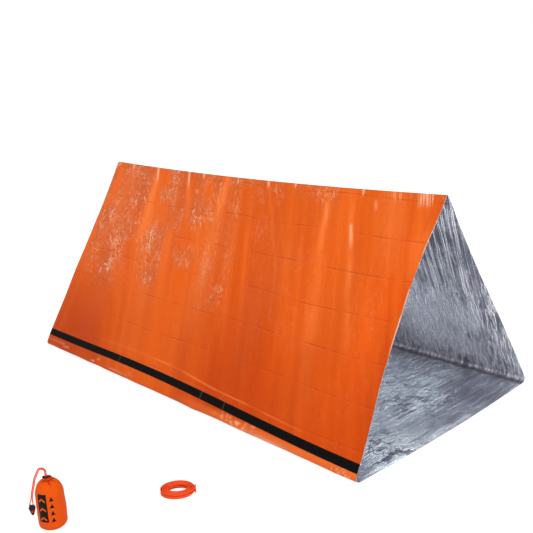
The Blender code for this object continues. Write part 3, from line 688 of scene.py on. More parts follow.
def build_film_streaks():
    """Painted reflections of the bare metal face, light and dark: long streaks down it, slanting wrinkles
    lower down, and fine crumpling.
    """
    group, given = new_group("film streaks", Vector=None, Slant=0.3, Crush=0.0, Calm=0.0)
    crush = given["Crush"]
    calm = times(given["Calm"], 0.60)
    hanging = swayed(given["Vector"], 5.0, 0.016)
    lines = crossing_lines(noise(stretched(hanging, y=0.025), 38.0), 0.05)
    fine = noise(stretched(hanging, y=0.04), 120.0, 3.0)
    upright = plus(times(lines, 0.35), times(fine, 0.54))
    slanting = noise(stretched(hanging, y=0.16, turn=0.7), 70.0, 4.0, 0.65)
    wrinkles = crossing_lines(noise(stretched(hanging, y=0.16, turn=0.5), 26.0, 3.0), 0.05)
    lower = plus(times(wrinkles, 0.32), plus(times(slanting, 0.66), 0.04))
    mixed = mix(given["Slant"], upright, lower)

    clouds = noise(hanging, 6.0, 4.0, 0.65)
    specks = noise(hanging, 85.0, 3.0, 0.7)
    rough = plus(times(specks, 0.35), times(clouds, 0.85))
    streak = mix(calm, plus(mixed, minus(rough, 0.55)), PLAIN_STREAK)
    pushed = swayed(given["Vector"], 11.0, 0.10)
    swirl = noise(stretched(pushed, y=0.6, turn=0.9), 26.0, 3.0)
    # Painted glints and shade of foil crushed on the floor.
    bright_foil = times(crossing_lines(swirl, 0.045), 0.55)
    dark_foil = times(crossing_lines(plus(swirl, 0.10), 0.05), 0.40)
    streak = plus(streak, times(minus(bright_foil, dark_foil), crush))
    relief = times(plus(times(specks, 0.3), mixed), minus(1.0, calm))
    relief = plus(times(swirl, crush, 1.5), relief)
    return end_group(group, Height=relief, Streak=streak)


film_streaks = build_film_streaks()

# %% [markdown]
# Cloth, braid and moulded plastic are regular, so sines and plain noise make them. A weave is two
# sines multiplied, a braid is two that slant against each other, and a mould leaves even grain.

# %% Woven cloth
def build_weave():
    """A plain weave with slubs: threads across and along, one over the other."""
    group, given = new_group("weave", Vector=None, Threads=1800.0)
    grown = add_node(group, "ShaderNodeVectorMath", {"operation": 'SCALE'},
                     i0=given["Vector"], i3=given["Threads"]).outputs[0]
    warp, weft = [maths('SINE', times(part, math.pi)) for part in parted(grown)[:2]]
    height = plus(times(warp, weft, 0.5), 0.5)
    slub = noise(stretched(given["Vector"], y=0.06), 900.0, roughness=0.5)
    return end_group(group, Height=height, Slub=slub)


weave = build_weave()


# %% Braided sheath
def build_braid():
    """A braided sheath: two families of strands cross round the cord."""
    group, given = new_group("braid", Vector=None, Strands=8.0, Pitch=0.0022)
    turns, metres = parted(given["Vector"])[:2]
    around = times(turns, given["Strands"])
    along = maths('DIVIDE', metres, given["Pitch"])
    one_way = maths('SINE', times(plus(around, along), math.pi))
    other_way = maths('SINE', times(minus(around, along), math.pi))
    height = maths('ABSOLUTE', times(one_way, other_way))
    unrolled = add_node(group, "ShaderNodeCombineXYZ", i0=around, i1=along).outputs[0]
    return end_group(group, Height=height, Groove=ramp(height, 0.0, 0.25, 1.0, 0.0),
                     Fleck=noise(unrolled, 1.6))


braid = build_braid()


# %% Moulded plastic
def build_moulded():
    """Fine spark texture of a mould, with handling marks."""
    group, given = new_group("moulded", Vector=None, Grain=2500.0)
    grain = noise(given["Vector"], given["Grain"])
    marks = noise(given["Vector"], 260.0, 4.0, 0.65)
    return end_group(group, Height=grain, Rubbed=ramp(marks, 0.45, 0.75))


moulded = build_moulded()
print("node groups:", ", ".join(group.name for group in bpy.data.node_groups))

# %% [markdown]
# ## Finishes
# The film is metallised: lacquered orange on one face, bare silver on the other. Both crinkle
# the same way, but silver mirrors its surroundings while the lacquer mostly shows its colour,
# with pale glints where a crease catches the light.

# %% Orange face of the film
FILM_ORANGE = (0.79, 0.128, 0.009)
# Deep orange, the low end of the tone, which also paints shade low down and at the ends.
FILM_DEEP_ORANGE = (0.51, 0.052, 0.003)
# Brighter orange that paints highlight bands, fine highlight streaks and the highlight line above the tape.
FILM_BAND = (0.90, 0.215, 0.045)
# Duller, greyer orange that paints the shade of crinkled patches, greyed by their scattered glints.
FILM_DUSTY = (0.58, 0.110, 0.022)
# Pale colour of the painted glints and highlights.
FILM_PALE = (0.94, 0.56, 0.35)
# Dark orange that paints shade in creases and beside the crackle.
FILM_CREASE = (0.42, 0.040, 0.005)
FIBRE_TONE = 0.14
TAPE_LINE_WIDTH = 0.0080
LACQUER_RELIEF = 0.0024


def read_mark(tree, name, output="Fac"):
    """A value that the mesh carries for its finish."""
    return add_node(tree, "ShaderNodeAttribute", {"attribute_name": name}).outputs[output]


def make_orange_film():
    """Orange lacquer over metal, with painted light: smooth highlight bands, crinkled patches in painted
    shade, sharp pale glints and shaded creases.
    """
    material, tree, shader = new_material("orange film", FILM_ORANGE, 0.38)
    crinkle = read_mark(tree, "crinkle")
    crinkles = use_group(tree, film_crinkles, Vector=read_mark(tree, "hang", "Vector"), Crinkle=crinkle,
                         Packing=read_mark(tree, "packing", "Vector"), Stroked=read_mark(tree, "stroked"))
    # Fine upright streaks of painted light and shade, fading out low on the wall.
    fibre = mix(read_mark(tree, "high_up"), MIDDLE, crinkles["Fibre"])
    # The tone carries painted light and shade: bright high up, deep at the foot and the ends.
    tone = plus(read_mark(tree, "tone"), ramp(fibre, 0.30, 0.70, -FIBRE_TONE, FIBRE_TONE))
    # A painted highlight line runs a little above the tape.
    beside_line = maths('ABSOLUTE', read_mark(tree, "above_tape"))
    line = times(ramp(beside_line, 0.0, TAPE_LINE_WIDTH, 0.50, 0.0), read_mark(tree, "line_strength"))
    # Painted glints and highlights, which also bring a glossier coat.
    pale = larger(larger(crinkles["Glint"], read_mark(tree, "worn")), crinkles["Stroke"])
    body = layered(
        mix_colour(tone, FILM_DEEP_ORANGE, FILM_ORANGE),
        (ramp(fibre, 0.54, 0.80, 0.0, 0.30), FILM_BAND),
        (times(crinkle, 0.60), FILM_DUSTY),
        (read_mark(tree, "band"), FILM_BAND),
        (times(crinkles["Crease"], 0.55), FILM_CREASE),
        (line, FILM_BAND),
        (times(pale, 0.88), FILM_PALE))
    feed(shader.inputs["Base Color"], body)
    feed(shader.inputs["Coat Weight"], ramp(pale, 0.1, 0.9, 0.0, 0.4))
    feed(shader.inputs["Coat Roughness"], 0.2)
    feed(shader.inputs["Metallic"], 0.15)
    feed(shader.inputs["Specular IOR Level"], 0.03)
    add_bump(shader, crinkles["Height"], LACQUER_RELIEF)
    return material


orange_film = make_orange_film()
print("orange face:", len(orange_film.node_tree.nodes), "nodes")

# %% [markdown]
# The inside is the metal itself. It is a soft mirror, so it takes its light from the white
# surround, and its light and dark streaks are painted reflections, from a paler and a darker silver,
# cooler on the floor. Where floor and wall meet, the fold holds no light, so painted shade darkens
# the colour there and the gloss goes.

# %% Silver face of the film
FILM_SILVER = (0.90, 0.91, 0.97)
# Cooler silver of the painted reflection on the floor.
FILM_COOL_SILVER = (0.84, 0.93, 1.0)
# Dark silver that paints dark reflections in the streaks and shade near the join.
FILM_DARK_SILVER = (0.22, 0.22, 0.28)
# Painted shade in the fold where floor and wall meet.
FILM_FOLD = (0.05, 0.05, 0.07)
FOLD_SHADE_REACH = 0.060
FOLD_REACH = 0.032
METAL_RELIEF = 0.0080


def make_silver_film():
    """The bare metal face, with painted reflections in its streaks and painted shade darkening into the
    join.
    """
    material, tree, shader = new_material("silver film", FILM_SILVER, 0.3, 0.65)
    streaks = use_group(tree, film_streaks, Vector=read_mark(tree, "metal_hang", "Vector"),
                        Slant=read_mark(tree, "slant"), Crush=read_mark(tree, "crush"),
                        Calm=read_mark(tree, "calm"))
    join = read_mark(tree, "join")
    from_join = maths('ABSOLUTE', join)
    bright = mix_colour(ramp(join, -0.10, -0.02, 1.0, 0.0), FILM_SILVER, FILM_COOL_SILVER)
    streak = plus(streaks["Streak"], read_mark(tree, "sheen"))
    body = layered(
        mix_colour(ramp(streak, 0.28, 0.66), FILM_DARK_SILVER, bright),
        (ramp(from_join, 0.0, FOLD_SHADE_REACH, 0.65, 0.0), FILM_DARK_SILVER),
        (ramp(from_join, 0.004, FOLD_REACH, 0.8, 0.0), FILM_FOLD))
    rough = larger(ramp(streaks["Streak"], 0.3, 0.7, 0.34, 0.18), ramp(from_join, 0.0, 0.050, 0.60, 0.0))
    feed(shader.inputs["Base Color"], body)
    feed(shader.inputs["Roughness"], rough)
    add_bump(shader, streaks["Height"], METAL_RELIEF)
    return material


silver_film = make_silver_film()
print("silver face:", len(silver_film.node_tree.nodes), "nodes")

# %% [markdown]
# The tape is black cloth tape. From a few metres it is almost plain, so its threads are a fine
# relief, and only three creases across it are paler.

# %% Black seam tape
TAPE_BLACK = (0.003, 0.003, 0.003)
TAPE_RUBBED = (0.008, 0.007, 0.006)
TAPE_CREASED = (0.060, 0.045, 0.040)
TAPE_CREASES = (-0.46, 0.24, 0.41)
TAPE_THREADS = 900.0


def make_tape_finish():
    """Black woven-backed tape, satin, a little paler along its threads and at a few creases."""
    material, tree, shader = new_material("seam tape black", TAPE_BLACK, 0.55)
    flat = flat_coordinates(tree)
    threads = use_group(tree, weave, Vector=flat, Threads=TAPE_THREADS)
    along = parted(flat)[0]
    creases = [(ramp(distance_to(along, place), 0.001, 0.005, 0.8, 0.0), TAPE_CREASED)
               for place in TAPE_CREASES]
    body = layered(mix_colour(ramp(threads["Slub"], 0.5, 0.8), TAPE_BLACK, TAPE_RUBBED), *creases)
    feed(shader.inputs["Base Color"], body)
    feed(shader.inputs["Specular IOR Level"], 0.03)
    add_bump(shader, threads["Height"], 0.00012)
    return material


tape_finish = make_tape_finish()
print("tape creases:", len(TAPE_CREASES))

# %% [markdown]
# ## The film of the tent
# The tube is drawn by one length of film that runs round it: up the front wall, over the ridge,
# down the back wall and across the floor. Every piece asks the same functions where that film
# lies, so creases and colour run on from piece to piece, and no join shows.

# %% Size of the tube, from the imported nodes
SHOWN_FILM = 0.0008
BASE_FOLD_RADIUS = 0.020
RIDGE_FOLD_RADIUS = 0.006
RIDGE_LEG = 0.045

tent_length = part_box("floor_sheet")[1].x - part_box("floor_sheet")[0].x
tent_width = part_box("back_wall")[1].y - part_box("front_wall")[0].y
tent_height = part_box("ridge_fold")[1].z
half_width = tent_width / 2 - BASE_FOLD_RADIUS
rise = tent_height - RIDGE_FOLD_RADIUS - BASE_FOLD_RADIUS
lean = (BASE_FOLD_RADIUS - RIDGE_FOLD_RADIUS) / math.hypot(half_width, rise)
wall_slope = math.acos(lean) - math.atan2(half_width, rise)
curl_length = BASE_FOLD_RADIUS * (math.pi - wall_slope)
straight_length = half_width * math.cos(wall_slope) + rise * math.sin(wall_slope)
wall_length = curl_length + straight_length - RIDGE_LEG - SEAT_GAP
bend_start = curl_length + straight_length
apex = bend_start + RIDGE_FOLD_RADIUS * wall_slope
print(f"tube: {tent_length:.3f} x {tent_width:.3f} x {tent_height:.3f} m, wall {apex:.3f} m of film")


# %% Where the film lies
def wall_section(run):
    """Places (y, z) and outward normals of the front wall, run metres up from the ground."""
    turn = np.minimum(run, curl_length) / BASE_FOLD_RADIUS
    beyond = np.clip(run - curl_length, 0.0, straight_length)
    bend = np.clip(run - bend_start, 0.0, None) / RIDGE_FOLD_RADIUS
    low_normal = np.column_stack([-np.sin(turn), -np.cos(turn)])
    places = (BASE_FOLD_RADIUS - tent_width / 2, BASE_FOLD_RADIUS) + low_normal * BASE_FOLD_RADIUS
    places = places + beyond[:, None] * (math.cos(wall_slope), math.sin(wall_slope))
    top = np.array([0.0, tent_height - RIDGE_FOLD_RADIUS])
    turned = wall_slope - bend
    round_normal = np.column_stack([-np.sin(turned), np.cos(turned)])
    in_bend = (bend > 0.0)[:, None]
    places = np.where(in_bend, top + round_normal * RIDGE_FOLD_RADIUS, places)
    return places, np.where(in_bend, round_normal, low_normal)


def height_share(run):
    """How far up the hanging part of the wall a place lies, from 0 to 1."""
    return np.clip((run - curl_length) / (wall_length - curl_length), 0.0, 1.0)


def along_tent(across):
    """Distance along the tent for a share of its length."""
    return (across - 0.5) * tent_length


# %% [markdown]
# Film that hangs from a ridge line is never flat. It drops into a few long folds, the ridge sags
# between its two ends, and the free edges at the openings are drawn in. These large shapes come
# first, each as a smooth function of the place along the tent and up the wall.

# %% The main folds, as the solids have them
FOLD_DEPTH = 0.007
FOLD_COUNT = 6
SLOW_FOLD_COUNT = 1.7
FOLD_FAN = 0.18
FRONT_PHASE = 0.4
BACK_PHASE = 2.1


def wall_fold(x, run, phase):
    """The main folds, which fan out from the ridge and die at the joins."""
    share = height_share(run)
    spread = x / (1.0 + FOLD_FAN * share)
    wave = np.sin(2 * math.pi * FOLD_COUNT * spread / tent_length + phase)
    slow_wave = np.sin(2 * math.pi * SLOW_FOLD_COUNT * spread / tent_length - 2 * phase)
    return FOLD_DEPTH * np.sin(math.pi * share) * (0.7 * wave + 0.5 * slow_wave)


# %% Sagging ridge and free edges
NEAR_EDGE_BOW = 0.028
FAR_EDGE_BOW = 0.014
BACK_EDGE_BOW = 0.010
EDGE_BOW_REACH = 0.35
EDGE_BOW_RISE = 1.6
RIDGE_SAG = 0.020
FOOT_FLARE = 0.022
FLARE_TOP = 0.36


def end_reach(x, end):
    """1 at one open end of the tube, falling to 0 further in; end is +1 for the near one."""
    return np.clip(1.0 - (tent_length / 2 - end * x) / EDGE_BOW_REACH, 0.0, None) ** 2


def edge_bow(x, run, near_depth, far_depth):
    """How far the free edges at the two open ends are drawn in along the ridge."""
    draw = np.sin(math.pi * height_share(run) ** EDGE_BOW_RISE)
    return draw * (near_depth * end_reach(x, 1) - far_depth * end_reach(x, -1))


def ridge_drop(x, run):
    """How far the film hangs lower because the ridge sags between its two ends."""
    return RIDGE_SAG * (1.0 - (2.0 * x / tent_length) ** 2) * height_share(run)


def foot_flare(x, run):
    """How far the front wall's foot stands out at the near end, where nothing holds it."""
    return FOOT_FLARE * end_reach(x, 1) * smooth_step(FLARE_TOP, 0.0, height_share(run))


# %% [markdown]
# ## Creases in the film
# Such a tent is folded to the size of a fist, so its film keeps a grid of packing creases for
# good. Between them it crumples: tall narrow crinkles that hang from the ridge, and longer ones
# that lie along the foot. The deep ones are real shape here, and the fine ones are in the finish.

# %% Packing creases
CREASE_ALONG = 0.205
CREASE_UP = 0.172
CREASE_DEPTH = 0.0012
CREASE_WANDER = 0.010
FIRST_CREASE_ALONG = 0.35
FIRST_CREASE_UP = 0.2


def zigzag(value):
    """A sharp wave between -1 and 1, one crest for each two units."""
    return 1.0 - 2.0 * np.abs(value - 2.0 * np.floor(value / 2.0) - 1.0)


def packing_places(x, round_tube):
    """Where the film was folded: whole numbers are creases, along the tent and round the tube."""
    drift = CREASE_WANDER * slow_field(x * 3.0, round_tube * 3.0, 11)
    along = (x + drift) / CREASE_ALONG + FIRST_CREASE_ALONG
    return along, (round_tube + drift) / CREASE_UP + FIRST_CREASE_UP


def packing_creases(x, round_tube):
    """The zigzag left by folding the film flat."""
    along, up = packing_places(x, round_tube)
    firm = 0.65 + 0.35 * slow_field(x * 2.2, round_tube * 2.2, 12)
    return CREASE_DEPTH * firm * (zigzag(along) + zigzag(up))


# %% Crinkles
HANG_DRIFT = 0.35
# From broad to narrow: depth, width, height, how much they sway, and seed
CRINKLES = (
    (0.0017, 0.125, 0.450, 1.0, 14),
    (0.0009, 0.052, 0.150, 1.0, 16),
    (0.0006, 0.025, 0.060, 0.0, 18),
)
FOOT_WRINKLE_DEPTH = 0.0042


def hanging_x(x, run):
    """Where on the ridge a place of the front wall hangs from: the folds drift as they go down."""
    return x - HANG_DRIFT * smooth_step(-0.48, -0.27, x / tent_length) * (apex - run)


def crinkles(hang, round_tube):
    """Crumpled film: broad, tall dents with narrow ones on them."""
    sway = 0.25 * slow_field(hang * 6.0, round_tube * 2.0, 13)
    return sum(depth * crumple(hang / width + swaying * sway, round_tube / height, seed)
               for depth, width, height, swaying, seed in CRINKLES)


def foot_wrinkles(x, run):
    """Loose, lengthwise wrinkles of the strip between the tape and the ground."""
    low = smooth_step(0.0, 0.02, run) * smooth_step(0.075, 0.05, run)
    return FOOT_WRINKLE_DEPTH * low * crumple(x / 0.16, run / 0.028, 20)


# %% Film off its smooth shape
TAPE_WIDTH = 0.038
TAPE_RISE = 0.105
TAPE_WAVE = 0.006
TAPE_FALL = 0.026
CALM_REACH = 0.034


def hump(value, middle, half_width):
    """A smooth hump: 1 at its middle, and almost nothing two half widths away."""
    return np.exp(-((value - middle) / half_width) ** 2)


def tape_middle(x):
    """Distance up the film of the tape's middle line, which comes down towards the near end."""
    fall = TAPE_FALL * smooth_step(-0.25 * tent_length, 0.5 * tent_length, x)
    return TAPE_RISE + TAPE_WAVE * np.cos(2 * math.pi * x / tent_length) - fall


def wall_relief(x, run, round_tube, hang):
    """Creases and crinkles of a wall, calmer under the stiff tape and at the joins."""
    calm = 1.0 - 0.8 * hump(run, tape_middle(x), CALM_REACH)
    calm = calm * smooth_step(0.0, 0.03, run) * smooth_step(apex, apex - 0.03, run)
    lower = 0.55 + 0.45 * smooth_step(0.1, 0.5, run)
    return (packing_creases(x, round_tube) + lower * crinkles(hang, round_tube)) * calm


# %% [markdown]
# The real film is one piece. Here it is cut where the tent folds when it is let down: two walls,
# the strip over the ridge, and the floor. Each is a fine grid laid where the functions above say,
# with its place in the flat film as its UV map, and then given a thickness.

# %% Front wall and back wall
COLUMN = 0.0082
ROW = 0.0098
tube_columns = round(tent_length / COLUMN)
wall_rows = round(wall_length / ROW)


def wall_place(x, run, offset, along):
    """Points of a wall's outer face, moved off its smooth shape and along the tent."""
    places, normal = wall_section(run)
    places = places + normal * offset[:, None]
    height = np.maximum(places[:, 1] - ridge_drop(x, run), 0.0)
    return np.column_stack([along, places[:, 0], height])


def front_place(x, run, lift=0.0):
    """Points of the front wall's outer face, or of something that lies on it."""
    relief = wall_relief(x, run, run, hanging_x(x, run)) + foot_wrinkles(x, run)
    along = x - edge_bow(x, run, NEAR_EDGE_BOW, FAR_EDGE_BOW) + foot_flare(x, run)
    return wall_place(x, run, lift + wall_fold(x, run, FRONT_PHASE) + relief, along)


def back_place(x, run):
    """Points of the back wall's outer face; the film's own length runs on over the ridge."""
    offset = wall_fold(x, run, BACK_PHASE) + wall_relief(x, run, 2 * apex - run, x)
    along = x - edge_bow(x, run, BACK_EDGE_BOW, BACK_EDGE_BOW)
    return wall_place(x, run, offset, along) * (1.0, -1.0, 1.0)


def add_film(name, rows, place, round_tube):
    """A sheet of film: place says where its points lie, round_tube how far round the tube they are."""
    mesh = shaped_grid(
        name, tube_columns, rows,
        lambda across, up: place(along_tent(across), up),
        lambda across, up: np.column_stack([along_tent(across), round_tube(up)]))
    piece = add_piece(name, mesh, orange_film, silver_film)
    thicken(piece, SHOWN_FILM, 1)
    print(f"{name}: {count_faces(piece)} faces")
    return piece


front_film = add_film(
    "front_film", wall_rows,
    lambda x, up: front_place(x, up * wall_length),
    lambda up: up * wall_length)
back_film = add_film(
    "back_film", wall_rows,
    lambda x, up: back_place(x, (1 - up) * wall_length),
    lambda up: 2 * apex - (1 - up) * wall_length)


# %% Ridge
SEAM_ROOM = 0.0001
RIDGE_ROWS = 14
ridge_half = apex - wall_length


def over_ridge(x, up):
    """The strip of film that goes over the ridge, from one wall to the other."""
    round_tube = wall_length + SEAM_ROOM + 2 * (ridge_half - SEAM_ROOM) * up
    run = np.minimum(round_tube, 2 * apex - round_tube)
    in_front = round_tube <= apex
    return np.where(in_front[:, None], front_place(x, run), back_place(x, run))


ridge_film = add_film("ridge_film", RIDGE_ROWS, over_ridge, lambda up: wall_length + 2 * ridge_half * up)

# %% Floor
FLOOR_DENT = 0.006
FLOOR_BULGE = 0.016
half_floor = tent_width / 2 - BASE_FOLD_RADIUS - SEAT_GAP


def floor_place(x, up):
    """Points of the floor's under face: flat on the ground, with wrinkles that stand up."""
    y = half_floor - 2 * half_floor * up
    edge = smooth_step(1.0, 0.93, np.abs(2 * up - 1)) * smooth_step(0.0, 0.02, tent_length / 2 - np.abs(x))
    slant = x * 0.8 + y * 0.6
    cross = y * 0.8 - x * 0.6
    dents = crumple(slant / 0.09, cross / 0.28, 30) + 0.5 * crumple(slant / 0.04, cross / 0.11, 32)
    height = FLOOR_DENT * (dents + 0.75) + packing_creases(x, 2 * apex + up)
    stand_out = (FOOT_FLARE * up + FLOOR_BULGE * np.sin(math.pi * up)) * end_reach(x, 1)
    return np.column_stack([x + stand_out, y, np.maximum(height * edge, 0.0)])


floor_film = add_film(
    "floor_film", round(2 * half_floor / ROW), floor_place,
    lambda up: 2 * apex + 2 * half_floor * up)


# %% [markdown]
# ## Marks for the film's finish
# A finish can't know where on the tent it is, so the mesh tells it. Each sheet carries marks for
# its own places: how crinkled the film is, where smooth bands of painted highlight hang from the
# ridge, where pale glints are painted, where painted shade lies in the fold of the metal face, and
# coordinates that hang with it.

# %% Painted highlight bands that hang from the ridge
# Place on the ridge, half width there, widening, drift and reach for each metre of film below the
# ridge, and strength
BANDS = (
    (-1.03, 0.017, 0.06, 0.05, 0.60, 0.75),
    (-0.78, 0.016, 0.07, 0.22, 0.75, 0.85),
    (-0.49, 0.010, 0.06, 0.50, 0.32, 0.60),
    (-0.16, 0.022, 0.04, 0.15, 0.95, 0.70),
    (0.15, 0.008, 0.02, 0.60, 0.70, 0.45),
    (0.20, 0.006, 0.02, 0.66, 0.55, 0.35),
    (0.56, 0.008, 0.055, 0.28, 1.10, 0.60),
    (0.69, 0.012, 0.02, 0.40, 0.85, 0.85),
    (0.93, 0.060, 0.03, 0.35, 0.42, 0.45),
    (1.12, 0.050, 0.03, 0.20, 0.50, 0.40),
)
BAND_WANDER = 0.007


def bright_bands(x, run):
    """Smooth painted highlight bands that hang from the ridge, between crinkled ones, each broken up in its
    own way.
    """
    below = apex - run
    bands = np.zeros(len(x))
    for middle, width, widening, drift, reach, strength in BANDS:
        own = np.full(len(x), middle)
        wander = BAND_WANDER * slow_field(below / 0.10, 9.0 * own, 58)
        away = (x - middle - drift * below - wander) / (width + widening * below)
        patchy = slow_field(below / 0.13 + 0.3 * away, 7.0 * own, 59)
        whole = 0.45 + 0.55 * smooth_step(-0.45, 0.25, patchy)
        band = strength * whole * np.exp(-away ** 2) * smooth_step(reach, 0.35 * reach, below)
        bands = np.maximum(bands, band)
    return bands


print("bands:", len(BANDS))

# %% Crinkled patches
# The most crumpled patches: place along the tent, height up the film, half width, half height
CRUMPLED = (
    (-1.10, 0.84, 0.09, 0.09), (-0.82, 0.80, 0.08, 0.07), (-0.82, 1.02, 0.05, 0.08),
    (-0.58, 0.79, 0.08, 0.07), (-0.29, 0.99, 0.11, 0.08), (-0.92, 0.56, 0.07, 0.06),
    (-0.27, 0.73, 0.10, 0.06), (-0.62, 1.06, 0.06, 0.06), (0.08, 0.56, 0.04, 0.07),
    (-0.50, 0.58, 0.07, 0.05),
)
PATCH_STRENGTH = 0.75


def oval(x, up, middle, height, half_x, half_up):
    """1 over an oval area, falling off steeply round it."""
    away = ((x - middle) / half_x) ** 2 + ((up - height) / half_up) ** 2
    return np.exp(-away ** 2)


def crinkle_share(x, run, hang):
    """Strength of the fine crinkles, from 0 to 1: most in patches, high up and towards the far end."""
    high = run / apex
    far = 0.5 - x / tent_length
    column = smooth_step(-0.5, 0.4, slow_field(hang / 0.075, run / 0.35, 51))
    upper = smooth_step(0.34, 0.62, high) * smooth_step(0.36, 0.62, far)
    faint = 0.16 * column * smooth_step(0.25, 0.6, high) * (0.4 + 0.6 * smooth_step(0.25, 0.5, far))
    at_ridge = 0.4 * column * smooth_step(0.88, 0.98, high)
    patches = sum(PATCH_STRENGTH * oval(x, run, *patch) for patch in CRUMPLED)
    share = 0.48 * column * upper + faint + at_ridge + patches
    return np.clip(0.03 + share * (1.0 - np.minimum(1.3 * bright_bands(x, run), 1.0)), 0.0, 1.0)


print("crumpled patches:", len(CRUMPLED))


# %% Slow changes of colour, with painted light and shade
def film_tone(x, run, hang):
    """Slow changes of the orange, from deep at the foot to bright at the ridge: painted light and shade,
    deepest low at the far end and at the near end, with random tone on top.
    """
    high = run / apex
    far = 0.5 - x / tent_length
    slow = 0.22 * slow_field(hang / 0.16, run / 1.3, 71) + 0.16 * slow_field(hang / 0.045, run / 0.8, 72)
    low_far = smooth_step(0.50, 0.10, high) * smooth_step(0.45, 0.95, far)
    near = smooth_step(0.60, 0.25, far)
    deeper = 0.30 * low_far + near * (0.18 + 0.30 * smooth_step(0.7, 0.1, high))
    return np.clip(0.52 + 0.24 * high + slow - deeper, 0.0, 1.0)


# %% [markdown]
# Pale glints and highlights are painted on the lacquer: at the ridge, along the near edge, and on
# the wrinkles at the foot. A long painted highlight line runs a little above the tape.

# %% Painted glints and highlights
# Single painted glints: place on the ridge they hang from, how far below it each starts and ends,
# and strength
NICKS = (
    (-1.03, 0.0, 0.05, 1.0), (-0.78, 0.0, 0.11, 1.0), (-0.49, 0.0, 0.12, 1.0), (-0.36, 0.0, 0.04, 1.0),
    (0.15, 0.0, 0.05, 1.0), (0.54, 0.09, 0.24, 0.25), (0.685, 0.18, 0.30, 0.75), (0.83, 0.06, 0.11, 0.4),
)
NICK_WIDTH = 0.0065
NICK_DRIFT = 0.45


def nicked(x, run, drift):
    """The single painted glints, which slant as they go down."""
    below = apex - run
    worn = np.zeros(len(x))
    for middle, start, end, strength in NICKS:
        shown = smooth_step(start - 0.02, start, below) * smooth_step(end, 0.7 * start + 0.3 * end, below)
        worn = np.maximum(worn, strength * hump(x - drift * below, middle, NICK_WIDTH) * shown)
    return worn


def rubbed_edge(x, run):
    """Painted glare on the free edge at the near opening, in places."""
    places = smooth_step(-0.3, 0.3, slow_field(x * 0.0, run / 0.07, 54))
    upper_half = smooth_step(0.40, 0.5, run / apex) * smooth_step(0.9, 0.75, run / apex)
    return smooth_step(0.008, 0.0, tent_length / 2 - x) * places * upper_half


def rubbed_foot(x, run):
    """Painted highlights on the wrinkles of the strip under the tape, finer and paler in two places, and
    one long pale highlight.
    """
    fine = hump(x, 0.52, 0.12) + hump(x, 1.14, 0.05)
    wrinkles = crumple(x / (0.16 - 0.11 * fine) + run / 0.05, run / 0.020, 56)
    wrinkles = smooth_step(0.30 - 0.35 * fine, 0.50 - 0.20 * fine, wrinkles)
    wrinkled = smooth_step(0.075, 0.060, run) * wrinkles * np.maximum(hump(x, -0.75, 0.30), fine)
    return np.maximum(0.6 * wrinkled, 0.55 * hump(run, 0.022, 0.012) * hump(x, 0.72, 0.13))


def worn_pale(x, run, drift):
    """Where pale glints and highlights are painted on the film."""
    return np.maximum(np.maximum(nicked(x, run, drift), rubbed_edge(x, run)), rubbed_foot(x, run))


# %% Painted glint strokes under the ridge
# Where fine pale strokes of painted glint hang in groups: place on the ridge, half width, and length
STROKE_GROUPS = ((0.34, 0.010, 0.05), (0.62, 0.012, 0.04), (0.76, 0.014, 0.06), (0.95, 0.03, 0.08),
                 (1.08, 0.07, 0.11))


def stroked(hang, run):
    """How strongly the fine painted glint strokes under the ridge show."""
    strength = np.zeros(len(run))
    for middle, half_width, length in STROKE_GROUPS:
        hanging = np.clip(1.2 - (apex - run) / length, 0.0, 1.0)
        strength = np.maximum(strength, np.exp(-((hang - middle) / half_width) ** 4) * hanging)
    return strength


print("nicks:", len(NICKS), "and groups of strokes:", len(STROKE_GROUPS))

# %% Painted highlight line above the tape
LINE_RISE = 0.072
LINE_FALL = 0.030
LINE_WANDER = 0.006


def above_tape(x, run):
    """Distance from the long painted highlight line that runs a little above the tape, in metres."""
    wander = LINE_WANDER * slow_field(x / 0.3, x * 0.0, 57)
    return run - (tape_middle(x) + LINE_RISE - LINE_FALL * smooth_step(-0.4, 1.0, x) + wander)


def line_strength(x):
    """How strongly the painted highlight line above the tape shows: it breaks up and fades at both ends."""
    ends = smooth_step(-0.85, -0.55, x) * smooth_step(1.05, 0.45, x)
    return ends * (0.35 + 0.65 * smooth_step(-0.35, 0.35, slow_field(x / 0.12, x * 0.0, 60)))


# %% [markdown]
# Metal film shows what stands around it, so broad parts of it are light and others dark. A real
# camera would catch these from the room, and here each is placed one by one as a soft oval, beside
# the areas of the floor where the film is crushed like foil.

# %% Light and dark areas of the metal face
# Painted reflections, light and dark, and one thin painted dark fold near the floor's near front corner.
# On the floor or not, place along the tent, distance from the join, half sizes, and strength
SHEENS = (
    (False, 0.90, 0.85, 0.40, 0.22, 0.05), (False, 0.35, 0.50, 0.40, 0.22, 0.34),
    (False, 0.80, 0.50, 0.25, 0.16, 0.08), (False, 0.80, 0.22, 0.40, 0.14, 0.14),
    (True, 0.70, 0.52, 0.25, 0.28, 0.18), (True, 1.06, 0.95, 0.25, 0.22, 0.14),
    (True, 1.05, 0.30, 0.20, 0.22, -0.12), (True, 0.55, 0.06, 0.60, 0.06, -0.08),
    (True, 1.165, 1.0, 0.012, 0.07, -0.60),
)
# Where the floor's film is crushed: place along the tent, distance from the join, half sizes
CRUSHED = ((0.84, 0.48, 0.22, 0.22), (1.10, 0.95, 0.12, 0.16), (0.60, 0.50, 0.25, 0.12))


def metal_sheen(x, from_join, on_floor):
    """Broad painted reflections, light and dark, on the metal face, added to its streaks."""
    sheen = np.zeros(len(x))
    for floor_area, middle, distance, half_x, half_distance, strength in SHEENS:
        area = hump(x, middle, half_x) * hump(from_join, distance, half_distance)
        sheen = sheen + strength * area * (on_floor == floor_area)
    return sheen


def crushed(x, inwards):
    """Areas of the floor where the film is crushed like foil, from 0 to 1."""
    return np.maximum.reduce([oval(x, inwards, *area) for area in CRUSHED])


